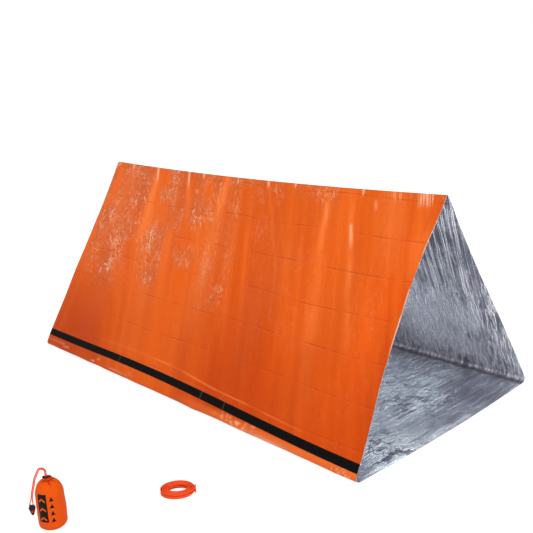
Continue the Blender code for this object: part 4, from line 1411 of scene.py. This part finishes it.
print("sheens:", len(SHEENS), "and crushed areas:", len(CRUSHED))

# %% [markdown]
# A sheet's UV map says where each point lies in the flat film: along the tent, and round the tube
# from the front wall's foot, over the ridge, to the floor. All marks are worked out from these
# two, and are kept as attributes of the points, which an Attribute node in the finish reads.

# %% Helpers for marks
def flat_places(mesh):
    """The UV map of a mesh, as one place for each of its points."""
    flat = np.empty(len(mesh.loops) * 2)
    mesh.uv_layers[0].data.foreach_get("uv", flat)
    corner = np.empty(len(mesh.loops), int)
    mesh.loops.foreach_get("vertex_index", corner)
    places = np.zeros((len(mesh.vertices), 2))
    places[corner] = flat.reshape(-1, 2)
    return places


def write_mark(mesh, name, values):
    """Keep one value, or one vector, for each point of a mesh."""
    kind, key = ('FLOAT', "value") if values.ndim == 1 else ('FLOAT_VECTOR', "vector")
    layer = mesh.attributes.new(name, kind, 'POINT')
    layer.data.foreach_set(key, values.ravel())


# %% Marks of the orange face
FLOOR_CRINKLE = 0.2
FLOOR_TONE = 0.5


def orange_marks(x, round_tube, run, hang):
    """Marks for the orange face, by name."""
    past_ridge = np.maximum(round_tube - apex, 0.0)
    behind = round_tube > apex
    on_floor = round_tube > 2 * apex
    # Painted highlights: a band on the strip under the tape, and the bands that hang from the ridge.
    under_tape = 0.45 * smooth_step(0.066, 0.052, run) * smooth_step(-0.1, 0.5, x)
    bands = np.maximum(0.80 * bright_bands(x, run), under_tape)
    worn = worn_pale(x, run, np.where(behind, 0.0, NICK_DRIFT))
    return {
        "crinkle": np.where(on_floor, FLOOR_CRINKLE, crinkle_share(x, run, hang)),
        "tone": np.where(on_floor, FLOOR_TONE, film_tone(x, run, hang)),
        "worn": worn * smooth_step(0.035, 0.005, past_ridge),
        "high_up": np.clip(0.12 + 1.15 * run / apex, 0.0, 1.0),
        "stroked": np.where(behind, 0.0, stroked(hang, run)),
        "band": bands * smooth_step(0.06, 0.01, past_ridge),
        "above_tape": above_tape(x, run),
        "line_strength": np.where(behind, 0.0, line_strength(x)),
    }


# %% Marks of the metal face
FAR_FROM_JOIN = 1.0


def metal_marks(x, round_tube, run):
    """Marks for the metal face, by name."""
    behind = round_tube > apex
    inwards = round_tube - 2 * apex
    on_floor = round_tube > 2 * apex
    from_join = np.where(on_floor, inwards, run)
    upright = 0.10 + 0.8 * smooth_step(0.62, 0.40, run / apex)
    return {
        "join": np.where(behind, np.where(on_floor, -inwards, run), FAR_FROM_JOIN),
        "slant": np.where(on_floor, 1.0 - 0.5 * smooth_step(0.62, 1.0, x), upright),
        "sheen": metal_sheen(x, from_join, on_floor),
        "crush": np.where(on_floor, crushed(x, inwards), 0.0),
        "calm": np.where(on_floor, np.clip(1.0 - 1.3 * crushed(x, inwards), 0.0, 1.0), 0.0),
    }


# %% Mark the film
BACK_DRIFT = 0.17


def hanging_marks(x, round_tube, run, hang):
    """Coordinates for patterns, which hang from the ridge or follow the packing creases."""
    across = np.where(round_tube > 2 * apex, round_tube - 2 * apex, run)
    places = {
        "hang": (hang, across),
        "metal_hang": (np.where(round_tube > apex, hang, x), across),
        "packing": packing_places(x, round_tube),
    }
    return {name: np.column_stack([*place, np.zeros(len(x))]) for name, place in places.items()}


def mark_film(piece):
    """Work out a sheet's marks from its own UV map; returns its mean crinkle."""
    x, round_tube = flat_places(piece.data).T
    run = np.clip(apex - np.abs(round_tube - apex), 0.0, apex)
    back_hang = np.where(round_tube > 2 * apex, x, x + BACK_DRIFT * (apex - run))
    hang = np.where(round_tube > apex, back_hang, hanging_x(x, run))
    marks = orange_marks(x, round_tube, run, hang)
    marks.update(metal_marks(x, round_tube, run))
    marks.update(hanging_marks(x, round_tube, run, hang))
    for name, values in marks.items():
        write_mark(piece.data, name, values)
    return float(marks["crinkle"].mean())


for film in (front_film, back_film, ridge_film, floor_film):
    print(f"{film.name}: mean crinkle {mark_film(film):.2f}")


# %% [markdown]
# ## Seam tape
# A black tape closes the tube's one seam, low on the front wall. It lies on the film and takes
# its shape, a little stiffer than the film itself.

# %% Seam tape
TAPE_SHOWN = 0.0005
TAPE_ROWS = 8


def tape_place(across, up):
    """Points of the tape's outer face, just off the film."""
    x = along_tent(across)
    run = tape_middle(x) + (up - 0.5) * TAPE_WIDTH
    return front_place(x, run, TAPE_SHOWN + 2 * SEAT_GAP)


tape_mesh = shaped_grid(
    "seam_tape_strip", tube_columns, TAPE_ROWS, tape_place,
    lambda across, up: np.column_stack([along_tent(across), (up - 0.5) * TAPE_WIDTH]))
tape_strip = add_piece("seam_tape_strip", tape_mesh, tape_finish)
thicken(tape_strip, TAPE_SHOWN)
print(f"seam_tape_strip: {count_faces(tape_strip)} faces")

# %% [markdown]
# Each sheet goes with its body: the walls, the floor and the tape with the tent, and the strip over
# the ridge with the ridge. The imported nodes that they stand for are hidden, and the walls, the
# tape and the ridge's strip get meshes of their own.


for piece, body, node, slot in (
        (front_film, "tent", "front_wall", "tent_film"),
        (back_film, "tent", "back_wall", "tent_film"),
        (floor_film, "tent", "floor_sheet", "tent_film"),
        (ridge_film, "ridge", "ridge_fold", "tent_film"),
        (tape_strip, "tent", "seam_tape", "seam_tape")):
    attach(piece, body)
    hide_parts(node)
for piece in (front_film, back_film, tape_strip):
    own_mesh(piece)
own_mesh(ridge_film)

# %% [markdown]
# ## Stuff sack
# The sack is a tube of thin cloth with a round base panel, filled tight with the folded tent.
# The drawcord gathers its neck, so pleats run out over the shoulders and fade where the filling
# holds the cloth taut. The shape is drawn as one profile, turned, and then pleated.

# %% The print on the sack
INK_BLACK = (0.009, 0.008, 0.006)
PANEL_LEFT = -0.036
PANEL_RIGHT = 0.001
PANEL_LOW = 0.082
PANEL_HIGH = 0.190
CHEVRON_PITCH = 0.036
CHEVRON_HALF = 0.0125
CHEVRON_START = 0.0145
CHEVRON_BAND = 0.0075
CHEVRON_SLOPE = 0.8
MARK_MIDDLE = 0.0185
MARK_HALF = 0.0085
MARK_HEIGHT = 0.017
MARK_PITCH = 0.027


def inside(value, low, high):
    """1 between two limits and 0 outside them, with a crisp edge."""
    return times(maths('GREATER_THAN', value, low), maths('LESS_THAN', value, high))


def printed_design(flat):
    """A mask of black ink: an upright panel with chevrons left bare, beside a row of triangles."""
    u, v = parted(flat)[:2]
    tall = inside(v, PANEL_LOW, PANEL_HIGH)
    up = minus(v, PANEL_LOW)
    aside = distance_to(u, (PANEL_LEFT + PANEL_RIGHT) / 2)
    phase = maths('MODULO', plus(up, times(aside, CHEVRON_SLOPE)), CHEVRON_PITCH)
    chevron = times(inside(phase, CHEVRON_START, CHEVRON_START + CHEVRON_BAND),
                    maths('LESS_THAN', aside, CHEVRON_HALF))
    panel = times(inside(u, PANEL_LEFT, PANEL_RIGHT), tall, minus(1.0, chevron))
    taper = minus(MARK_HALF, times(maths('MODULO', up, MARK_PITCH), MARK_HALF / MARK_HEIGHT))
    triangle = times(maths('LESS_THAN', distance_to(u, MARK_MIDDLE), taper), tall)
    return larger(panel, triangle)


# %% The sack's cloth
CLOTH_ORANGE = (0.73, 0.090, 0.003)
CLOTH_SHADE = (0.66, 0.052, 0.003)
# Painted shade in the pleats.
CLOTH_CREASE = (0.48, 0.020, 0.003)
CLOTH_THREADS = 1700.0
CLOTH_ROUGHNESS = 0.52
INK_ROUGHNESS = 0.40
CLOTH_RELIEF = 0.00010


def make_sack_cloth(name, with_print):
    """Thin plain-woven nylon, with painted shade deeper in its pleats, with or without the ink."""
    material, tree, shader = new_material(name, CLOTH_ORANGE, CLOTH_ROUGHNESS)
    flat = flat_coordinates(tree)
    threads = use_group(tree, weave, Vector=flat, Threads=CLOTH_THREADS)
    colour = layered(
        mix_colour(ramp(threads["Slub"], 0.35, 0.7), CLOTH_SHADE, CLOTH_ORANGE),
        (0.72, CLOTH_ORANGE),
        (ramp(read_mark(tree, "pleat"), 0.25, 0.9, 0.0, 0.75), CLOTH_CREASE))
    if with_print:
        ink = printed_design(flat)
        colour = mix_colour(ink, colour, INK_BLACK)
        feed(shader.inputs["Roughness"], ramp(ink, 0.0, 1.0, CLOTH_ROUGHNESS, INK_ROUGHNESS))
    feed(shader.inputs["Base Color"], colour)
    feed(shader.inputs["Specular IOR Level"], 0.06)
    add_bump(shader, threads["Height"], CLOTH_RELIEF)
    return material


printed_cloth = make_sack_cloth("printed sack cloth", True)
plain_cloth = make_sack_cloth("plain sack cloth", False)
print("sack cloth:", printed_cloth.name, "and", plain_cloth.name)

# %% The sack's profile
SACK_TOP = 0.1817
SIDE_TOP = 0.122
SACK_FOOT_RADIUS = 0.0505
CORNER_RADIUS = 0.016
BELLY = 0.0012


def sack_profile():
    """Radius and height along the cloth, from under the base to the middle of the neck."""
    corner_turn = np.linspace(0.0, math.pi / 2, 12)
    base = np.array([(0.0, 0.0), (SACK_FOOT_RADIUS - CORNER_RADIUS, 0.0)])
    corner = np.column_stack([
        SACK_FOOT_RADIUS - CORNER_RADIUS + CORNER_RADIUS * np.sin(corner_turn),
        CORNER_RADIUS - CORNER_RADIUS * np.cos(corner_turn)])
    side_share = np.linspace(0.0, 1.0, 16)[1:]
    belly = SACK_FOOT_RADIUS + BELLY * np.sin(math.pi * side_share)
    side = np.column_stack([belly, CORNER_RADIUS + (SIDE_TOP - CORNER_RADIUS) * side_share])
    shoulder_turn = np.linspace(0.0, math.pi / 2, 24)[1:]
    shoulder = np.column_stack([
        NECK_RADIUS + (SACK_FOOT_RADIUS - NECK_RADIUS) * np.cos(shoulder_turn),
        SIDE_TOP + (SACK_TOP - SIDE_TOP) * np.sin(shoulder_turn)])
    return np.vstack([base, corner, side, shoulder, [(0.0, SACK_TOP)]])


profile = sack_profile()
profile_reach = reach_along(profile)
cloth_height = float(profile_reach[-1])
neck_reach = float(profile_reach[-2])


def profile_at(reach):
    """Radius and height of the profile at distances along the cloth."""
    return [np.interp(reach, profile_reach, part) for part in profile.T]


print(f"sack: {cloth_height:.3f} m of cloth from the base's middle to the neck's")

# %% [markdown]
# Gathered cloth doesn't fold evenly. Each pleat is a sharp valley with its own place, length and
# width, drawn from a seeded list so that it is the same in every run, and every third one is deep.

# %% Pleats that run out from the neck
PLEATS = 19
PLEAT_DEPTH = 0.0026
PLEAT_BEND = 0.10
draw = np.random.default_rng(61)
pleat_angles = 2 * math.pi * (np.arange(PLEATS) + draw.uniform(-0.28, 0.28, PLEATS)) / PLEATS
pleat_lengths = draw.uniform(0.010, 0.030, PLEATS)
pleat_widths = draw.uniform(0.0016, 0.0028, PLEATS)
pleat_strengths = np.where(np.arange(PLEATS) % 3 == 1, 1.5, 0.75)


def turn_between(angle, middle):
    """The smaller angle between two directions."""
    return np.abs(np.angle(np.exp(1j * (angle - middle))))


def pleat_depth(angle, from_neck, radius):
    """How far the gathered cloth is drawn in, as sharp valleys that fade down the shoulder."""
    depth = np.zeros(len(angle))
    for middle, length, width, strength in zip(pleat_angles, pleat_lengths, pleat_widths, pleat_strengths):
        bent = middle + PLEAT_BEND * math.sin(middle * 5.0) * from_neck / 0.03
        away = turn_between(angle, bent) * np.maximum(radius, 0.006)
        spread = width * (0.6 + 0.9 * np.clip(from_neck / length, 0.0, 2.0))
        fade = smooth_step(length * 1.6, length * 0.2, from_neck)
        depth += strength * fade * np.exp(-(away / spread) ** 1.4)
    return PLEAT_DEPTH * np.minimum(depth, 1.5)


print(f"pleats: {PLEATS}, up to {pleat_lengths.max() * 1000:.0f} mm long")

# %% Slack and seam of the sack
SEAM_HEIGHT = 0.0125
SEAM_WIDTH = 0.0011
SEAM_DEPTH = 0.0007
SEAM_PUCKERS = 46
SLACK_DEPTH = 0.0011
CRUMPLE_DEPTH = 0.0007


def sack_offset(around, reach, radius, height):
    """How far the cloth stands off its profile: pleats, slack on the side, and the base's seam."""
    from_neck = np.maximum(neck_reach - reach, 0.0)
    dent = pleat_depth(around * 2 * math.pi, from_neck, radius) * smooth_step(0.0, 0.004, radius)
    on_side = smooth_step(0.03, 0.06, reach) * smooth_step(0.0, 0.05, from_neck)
    slack = SLACK_DEPTH * slow_field(around * 9, reach / 0.045, 62)
    slack = slack + CRUMPLE_DEPTH * crumple(around * 16, reach / 0.030, 63)
    seam_line = hump(height, SEAM_HEIGHT, SEAM_WIDTH) * smooth_step(0.04, 0.045, radius)
    pucker = 0.5 + 0.5 * np.sin(around * 2 * math.pi * SEAM_PUCKERS)
    return on_side * slack - dent - seam_line * SEAM_DEPTH * (0.6 + 0.4 * pucker)


# %% The sack
NORMAL_STEP = 0.0004
SACK_RADIUS = 0.052
SACK_COLUMNS = 240
SACK_ROWS = 190


def round_sack(angle, radius, height):
    """Places on the sack, from a turn about its axis, with 0 towards the viewer."""
    return stand_at(np.column_stack([radius * np.sin(angle), -radius * np.cos(angle), height]),
                    SACK_PLACE, SACK_TURN)


def sack_place(across, up):
    """Points of the sack's outer face."""
    reach = up * cloth_height
    radius, height = profile_at(reach)
    next_radius, next_height = profile_at(reach + NORMAL_STEP)
    steep = np.maximum(np.hypot(next_radius - radius, next_height - height), 1e-9)
    offset = sack_offset(across - 0.5, reach, radius, height)
    outwards = (next_height - height) / steep
    upwards = (radius - next_radius) / steep
    radius = np.maximum(radius + outwards * offset, 0.0)
    height = np.maximum(height + upwards * offset, 0.0)
    return round_sack(2 * math.pi * (across - 0.5), radius, height)


sack_mesh = shaped_grid(
    "sack_cloth", SACK_COLUMNS, SACK_ROWS, sack_place,
    lambda across, up: np.column_stack([(across - 0.5) * 2 * math.pi * SACK_RADIUS, up * cloth_height]),
    merge=2e-6)
cloth_around, cloth_up = flat_places(sack_mesh).T
below_neck = np.maximum(neck_reach - cloth_up, 0.0)
cloth_depth = pleat_depth(cloth_around / SACK_RADIUS, below_neck, profile_at(cloth_up)[0])
write_mark(sack_mesh, "pleat", cloth_depth / PLEAT_DEPTH)
sack_cloth = add_piece("sack_cloth", sack_mesh, printed_cloth)
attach(sack_cloth, "sack")
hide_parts("sack_body", "sack_base")
print(f"sack_cloth: {count_faces(sack_cloth)} faces")

# %% [markdown]
# The hem is a rolled tunnel for the drawcord. Gathered round so small a neck it bunches into
# lumps, one between each pair of pleats. It is a ring here, pinched at every pleat, with a mouth
# cut in its front for the two strands.

# %% The gathered hem
HEM_CLOTH = 0.0005
HEM_GIRTH_UNGATHERED = 0.30
HEM_TUNNEL = 0.030
HEM_COLUMNS = 168
HEM_ROWS = 28
HEM_SKIN = 0.0002
PINCH_WIDTH = 0.0011
PINCH_SHARE = 0.20
MOUTH_HALF = 0.006325
MOUTH_FRONT = 0.004
MOUTH_HEIGHT = HEM_HEIGHT + 0.0012


def hem_place(across, up):
    """Points of the rolled hem, bunched into lumps between the pleats."""
    angle = 2 * math.pi * (across - 0.5)
    turn = 2 * math.pi * up
    pinched = sum(hump(turn_between(angle, middle) * NECK_RADIUS, 0.0, PINCH_WIDTH)
                  for middle in pleat_angles)
    minor = (HEM_RADIUS - HEM_SKIN) * (1.0 - PINCH_SHARE * np.minimum(pinched, 1.0))
    lift = 0.0004 * np.sin(3 * angle) + 0.0003 * np.sin(7 * angle + 1.0)
    return round_sack(angle, NECK_RADIUS + minor * np.cos(turn), HEM_HEIGHT + (minor + lift) * np.sin(turn))


def open_hem(mesh):
    """Take out the cloth where the two strands leave the hem."""
    bm = bmesh.new()
    bm.from_mesh(mesh)
    place = Vector((*SACK_PLACE, 0.0))
    back_turn = Matrix.Rotation(-SACK_TURN, 3, 'Z')
    mouth = []
    for face in bm.faces:
        local = back_turn @ (face.calc_center_median() - place)
        if abs(local.x) < MOUTH_HALF and local.y < -MOUTH_FRONT and local.z > MOUTH_HEIGHT:
            mouth.append(face)
    bmesh.ops.delete(bm, geom=mouth, context='FACES')
    bm.to_mesh(mesh)
    bm.free()
    return len(mouth)


hem_mesh = shaped_grid(
    "hem_cloth", HEM_COLUMNS, HEM_ROWS, hem_place,
    lambda across, up: np.column_stack([(across - 0.5) * HEM_GIRTH_UNGATHERED, up * HEM_TUNNEL]),
    merge=1e-6)
print("faces taken out for the strands:", open_hem(hem_mesh))
hem_cloth = add_piece("hem_cloth", hem_mesh, plain_cloth)
thicken(hem_cloth, HEM_CLOTH)
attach(hem_cloth, "sack")
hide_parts("sack_hem")

# %% [markdown]
# ## The cords' finish
# Both cords are braided nylon. The braid is drawn from the cord's own UV map, turns across and
# metres along, so the strands keep their real size whichever way the cord bends.

# %% Braided finish
CORD_ORANGE = (0.82, 0.078, 0.015)
# Painted shade between the strands.
CORD_GROOVE = (0.62, 0.042, 0.008)
# Paler flecks of painted sheen on the fibres.
CORD_FLECK = (0.88, 0.120, 0.024)
BRAID_STRANDS = 8.0
BRAID_RELIEF = 0.00025


def make_braid_finish(name, pitch):
    """Braided orange nylon, with painted shade between its strands and paler flecks of painted sheen."""
    material, tree, shader = new_material(name, CORD_ORANGE, 0.6)
    sheath = use_group(tree, braid, Vector=flat_coordinates(tree), Strands=BRAID_STRANDS, Pitch=pitch)
    colour = layered(
        mix_colour(ramp(sheath["Fleck"], 0.5, 0.75), CORD_ORANGE, CORD_FLECK),
        (sheath["Groove"], CORD_GROOVE))
    feed(shader.inputs["Base Color"], colour)
    feed(shader.inputs["Specular IOR Level"], 0.12)
    add_bump(shader, sheath["Height"], BRAID_RELIEF)
    return material


drawcord_finish = make_braid_finish("drawcord braid", 0.0024)
guy_finish = make_braid_finish("guy cord braid", 0.0030)
print("braids:", drawcord_finish.name, "and", guy_finish.name)

# %% The two cords
DRAWCORD_SIDES = 16
GUY_CORD_SIDES = 14
drawcord_mesh = cord_mesh("drawcord_braid", drawcord_route, DRAWCORD_DIAMETER, DRAWCORD_SIDES)
guy_mesh = cord_mesh("guy_cord_braid", guy_route, GUY_CORD_DIAMETER, GUY_CORD_SIDES)
drawcord_piece = add_piece("drawcord_braid", drawcord_mesh, drawcord_finish)
guy_piece = add_piece("guy_cord_braid", guy_mesh, guy_finish)
for piece, body, node in ((drawcord_piece, "sack", "drawcord"), (guy_piece, "hank", "guy_cord")):
    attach(piece, body)
    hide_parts(node)
    print(f"{node}: {count_faces(piece)} faces")


# %% [markdown]
# A braided cord has a core of white yarns inside its sheath. They show at the cut end, where they
# spread a little, so seven thin tapered yarns stand out of it.

# %% The guy cord's core
CORE_STRANDS = 6
CORE_LENGTH = 0.0055
CORE_RING = 0.0012
CORE_SEAT = 0.001
CORE_FAN = 0.312
YARN_FOOT_RADIUS = 0.00065
YARN_TIP_RADIUS = 0.00035


def core_mesh():
    """White inner yarns that stand out of the cut end: a ring fanned a little round one."""
    bm = bmesh.new()
    end = Vector(guy_route[-1])
    ahead = (end - Vector(guy_route[-2])).normalized()
    side = ahead.cross(Vector((0, 0, 1))).normalized()
    over = side.cross(ahead)
    turns = np.linspace(0.0, 2 * math.pi, CORE_STRANDS, endpoint=False)
    ring = [side * math.cos(turn) + over * math.sin(turn) for turn in turns]
    for out in [*ring, Vector((0, 0, 0))]:
        foot = end + out * CORE_RING - ahead * CORE_SEAT
        heading = (ahead + out * CORE_FAN).normalized()
        yarn = bmesh.ops.create_cone(bm, cap_ends=True, segments=8, radius1=YARN_FOOT_RADIUS,
                                     radius2=YARN_TIP_RADIUS, depth=CORE_LENGTH)["verts"]
        turned = heading.to_track_quat('Z', 'Y').to_matrix()
        bmesh.ops.rotate(bm, matrix=turned, verts=yarn)
        bmesh.ops.translate(bm, vec=foot + heading * CORE_LENGTH / 2, verts=yarn)
    for face in bm.faces:
        face.smooth = len(face.verts) == 4
    mesh = bpy.data.meshes.new("guy_cord_core")
    bm.to_mesh(mesh)
    bm.free()
    return mesh


def make_core_finish():
    """White yarn, with painted shade: a little grey between its fibres, where the relief lies low."""
    material, tree, shader = new_material("white core yarn", (0.86, 0.86, 0.84), 0.7)
    fibres = noise(object_coordinates(tree), 4000.0, roughness=0.5)
    feed(shader.inputs["Base Color"],
         mix_colour(ramp(fibres, 0.3, 0.7), (0.70, 0.70, 0.68), (0.90, 0.90, 0.88)))
    add_bump(shader, fibres, 0.0001)
    return material


core_piece = add_piece("guy_cord_core", core_mesh(), make_core_finish())
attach(core_piece, "hank")
print(f"guy_cord_core: {count_faces(core_piece)} faces")

# %% [markdown]
# ## Cord lock and whistle
# These are moulded parts with the right shape already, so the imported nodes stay, and only get
# their finish: black plastic with a fine spark texture, a glossier red core in the whistle, and
# a bright spring.

# %% Plastics and steel
RUBBED_ROUGHER = 0.12
MOULD_RELIEF = 0.00006
STEEL_RELIEF = 0.00002


def make_plastic(name, colour, rubbed_colour, roughness, grain):
    """Moulded plastic, paler where it is rubbed."""
    material, tree, shader = new_material(name, colour, roughness)
    surface = use_group(tree, moulded, Vector=object_coordinates(tree), Grain=grain)
    rubbed = surface["Rubbed"]
    feed(shader.inputs["Base Color"], mix_colour(rubbed, colour, rubbed_colour))
    feed(shader.inputs["Roughness"], ramp(rubbed, 0.0, 1.0, roughness, roughness + RUBBED_ROUGHER))
    feed(shader.inputs["Specular IOR Level"], 0.14)
    add_bump(shader, surface["Height"], MOULD_RELIEF)
    return material


def make_spring_steel():
    """Bright drawn wire, with fine marks along it."""
    material, tree, shader = new_material("spring steel", (0.58, 0.58, 0.60), 0.28, 1.0)
    marks = noise(stretched(object_coordinates(tree), z=8.0), 3000.0, roughness=0.5)
    feed(shader.inputs["Roughness"], ramp(marks, 0.3, 0.7, 0.2, 0.42))
    add_bump(shader, marks, STEEL_RELIEF)
    return material


black_plastic = make_plastic(
    "black moulded plastic", (0.010, 0.010, 0.010), (0.028, 0.028, 0.028), 0.34, 2600.0)
red_plastic = make_plastic(
    "red moulded plastic", (0.78, 0.030, 0.008), (0.86, 0.10, 0.04), 0.28, 2200.0)
spring_steel = make_spring_steel()

finishes = {
    "cord_lock_barrel": black_plastic,
    "cord_lock_plunger": black_plastic,
    "whistle_body": black_plastic,
    "whistle_core": red_plastic,
}
for node_name, finish in finishes.items():
    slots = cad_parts[node_name].material_slots
    for slot in slots:
        slot.material = finish
    print(f"{node_name}: {finish.name} in {len(slots)} slot")


# %% [markdown]
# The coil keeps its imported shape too, but as a piece of its own, because it has to shorten while
# the button is pressed. Its far end sits on the barrel's end wall and stays there.

# %% Spring
def coil_mesh():
    """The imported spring's shape, with its loose triangles joined up."""
    bm = bmesh.new()
    bm.from_mesh(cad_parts["cord_lock_spring"].data)
    bmesh.ops.remove_doubles(bm, verts=bm.verts, dist=1e-7)
    for face in bm.faces:
        face.smooth = True
    mesh = bpy.data.meshes.new("spring_coil")
    bm.to_mesh(mesh)
    bm.free()
    return mesh


spring_coil = add_piece("spring_coil", coil_mesh(), spring_steel)
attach(spring_coil, "cord_lock")
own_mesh(spring_coil)
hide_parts("cord_lock_spring")

# %% [markdown]
# Both are limp. The drawcord hangs between the lock and the whistle, and the guy cord is coiled.


# %% [markdown]
# ## Studio
# A plain white floor and an even white surround, as in a catalogue photograph. The surround is
# white to the camera and to mirrors by its colour alone, while the light that it sheds on the
# object stays at a plain level. The floor keeps the soft shadow.

# %% Studio floor
FLOOR_REACH = 30.0
FLOOR_DROP = 0.0004
SHADOW_SHARE = 0.30
BOUNCE = 0.75
WHITE = (1.0, 1.0, 1.0)


def seen_directly(tree):
    """1 for camera, mirror and glass rays, and 0 for the light that falls on things."""
    path = tree.nodes.new("ShaderNodeLightPath").outputs
    return larger(larger(path["Is Camera Ray"], path["Is Glossy Ray"]), path["Is Transmission Ray"])


def shader_node(tree, kind, **inputs):
    """A shader or a mixer of shaders; returns its output."""
    return add_node(tree, kind, **inputs).outputs[0]


def make_floor_finish():
    """White paper: mostly its own white to the eye, the rest lit, so that it holds a shadow."""
    material = bpy.data.materials.new("studio floor")
    material.use_nodes = True
    tree = material.node_tree
    tree.nodes.clear()
    away = add_node(tree, "ShaderNodeVectorMath", {"operation": 'LENGTH'}, i0=object_coordinates(tree))
    whiteness = ramp(away.outputs["Value"], 1.6, 4.5, 0.80, 1.0)
    lit = shader_node(tree, "ShaderNodeBsdfDiffuse", Color=(SHADOW_SHARE,) * 3)
    own = shader_node(tree, "ShaderNodeEmission", Color=WHITE, Strength=whiteness)
    paper = shader_node(tree, "ShaderNodeAddShader", i0=lit, i1=own)
    bounce = shader_node(tree, "ShaderNodeBsdfDiffuse", Color=(BOUNCE,) * 3)
    chosen = shader_node(tree, "ShaderNodeMixShader", i0=seen_directly(tree), i1=bounce, i2=paper)
    add_node(tree, "ShaderNodeOutputMaterial", Surface=chosen)
    return material


bm = bmesh.new()
bmesh.ops.create_grid(bm, x_segments=1, y_segments=1, size=FLOOR_REACH / 2)
bmesh.ops.translate(bm, vec=(0.0, 0.0, -FLOOR_DROP), verts=bm.verts)
floor_plane_mesh = bpy.data.meshes.new("studio_floor")
bm.to_mesh(floor_plane_mesh)
bm.free()
studio_floor = add_piece("studio_floor", floor_plane_mesh, make_floor_finish())
print("studio floor:", FLOOR_REACH, "m wide")

# %% Surround
SOFT_LIGHT = 0.64

surround = bpy.data.worlds.new("surround")
surround.use_nodes = True
bpy.context.scene.world = surround
world_tree = surround.node_tree
world_tree.nodes.clear()
soft_light = shader_node(world_tree, "ShaderNodeBackground", Color=WHITE, Strength=SOFT_LIGHT)
white_wall = shader_node(world_tree, "ShaderNodeBackground", Color=WHITE, Strength=1.0)
surround_light = shader_node(world_tree, "ShaderNodeMixShader", i0=seen_directly(world_tree),
                             i1=soft_light, i2=white_wall)
add_node(world_tree, "ShaderNodeOutputWorld", Surface=surround_light)
print("surround:", surround.name)

# %% [markdown]
# Four softboxes light the set. The key lamp stands beside the camera, a small one gives the far end
# its glints, one looks into the opening, and the last, behind the tent, lifts its far side.

# %% Lamps
def add_softbox(name, place, aim, width, power, spread=180.0):
    """A square lamp turned towards a point; a small spread, in degrees, keeps its light together."""
    lamp = bpy.data.lights.new(name, 'AREA')
    lamp.shape = 'SQUARE'
    lamp.size = width
    lamp.energy = power
    lamp.spread = math.radians(spread)
    holder = bpy.data.objects.new(name, lamp)
    holder.location = place
    holder.rotation_euler = (Vector(aim) - Vector(place)).to_track_quat('-Z', 'Y').to_euler()
    bpy.context.collection.objects.link(holder)


add_softbox("key softbox", (2.2, -4.2, 3.9), (0.2, -0.3, 0.4), 2.0, 124.0)
add_softbox("glint softbox", (-4.1, -1.8, 2.3), (-0.6, -0.3, 0.7), 0.9, 8.0)
add_softbox("opening softbox", (4.4, -0.5, 0.8), (0.5, 0.1, 0.3), 1.2, 20.0, 56.0)
add_softbox("back softbox", (-1.2, 4.6, 3.2), (0.0, 0.3, 0.5), 2.4, 80.0)
bpy.context.scene.view_settings.view_transform = 'Standard'
print("lamps: key, glint, opening and back")
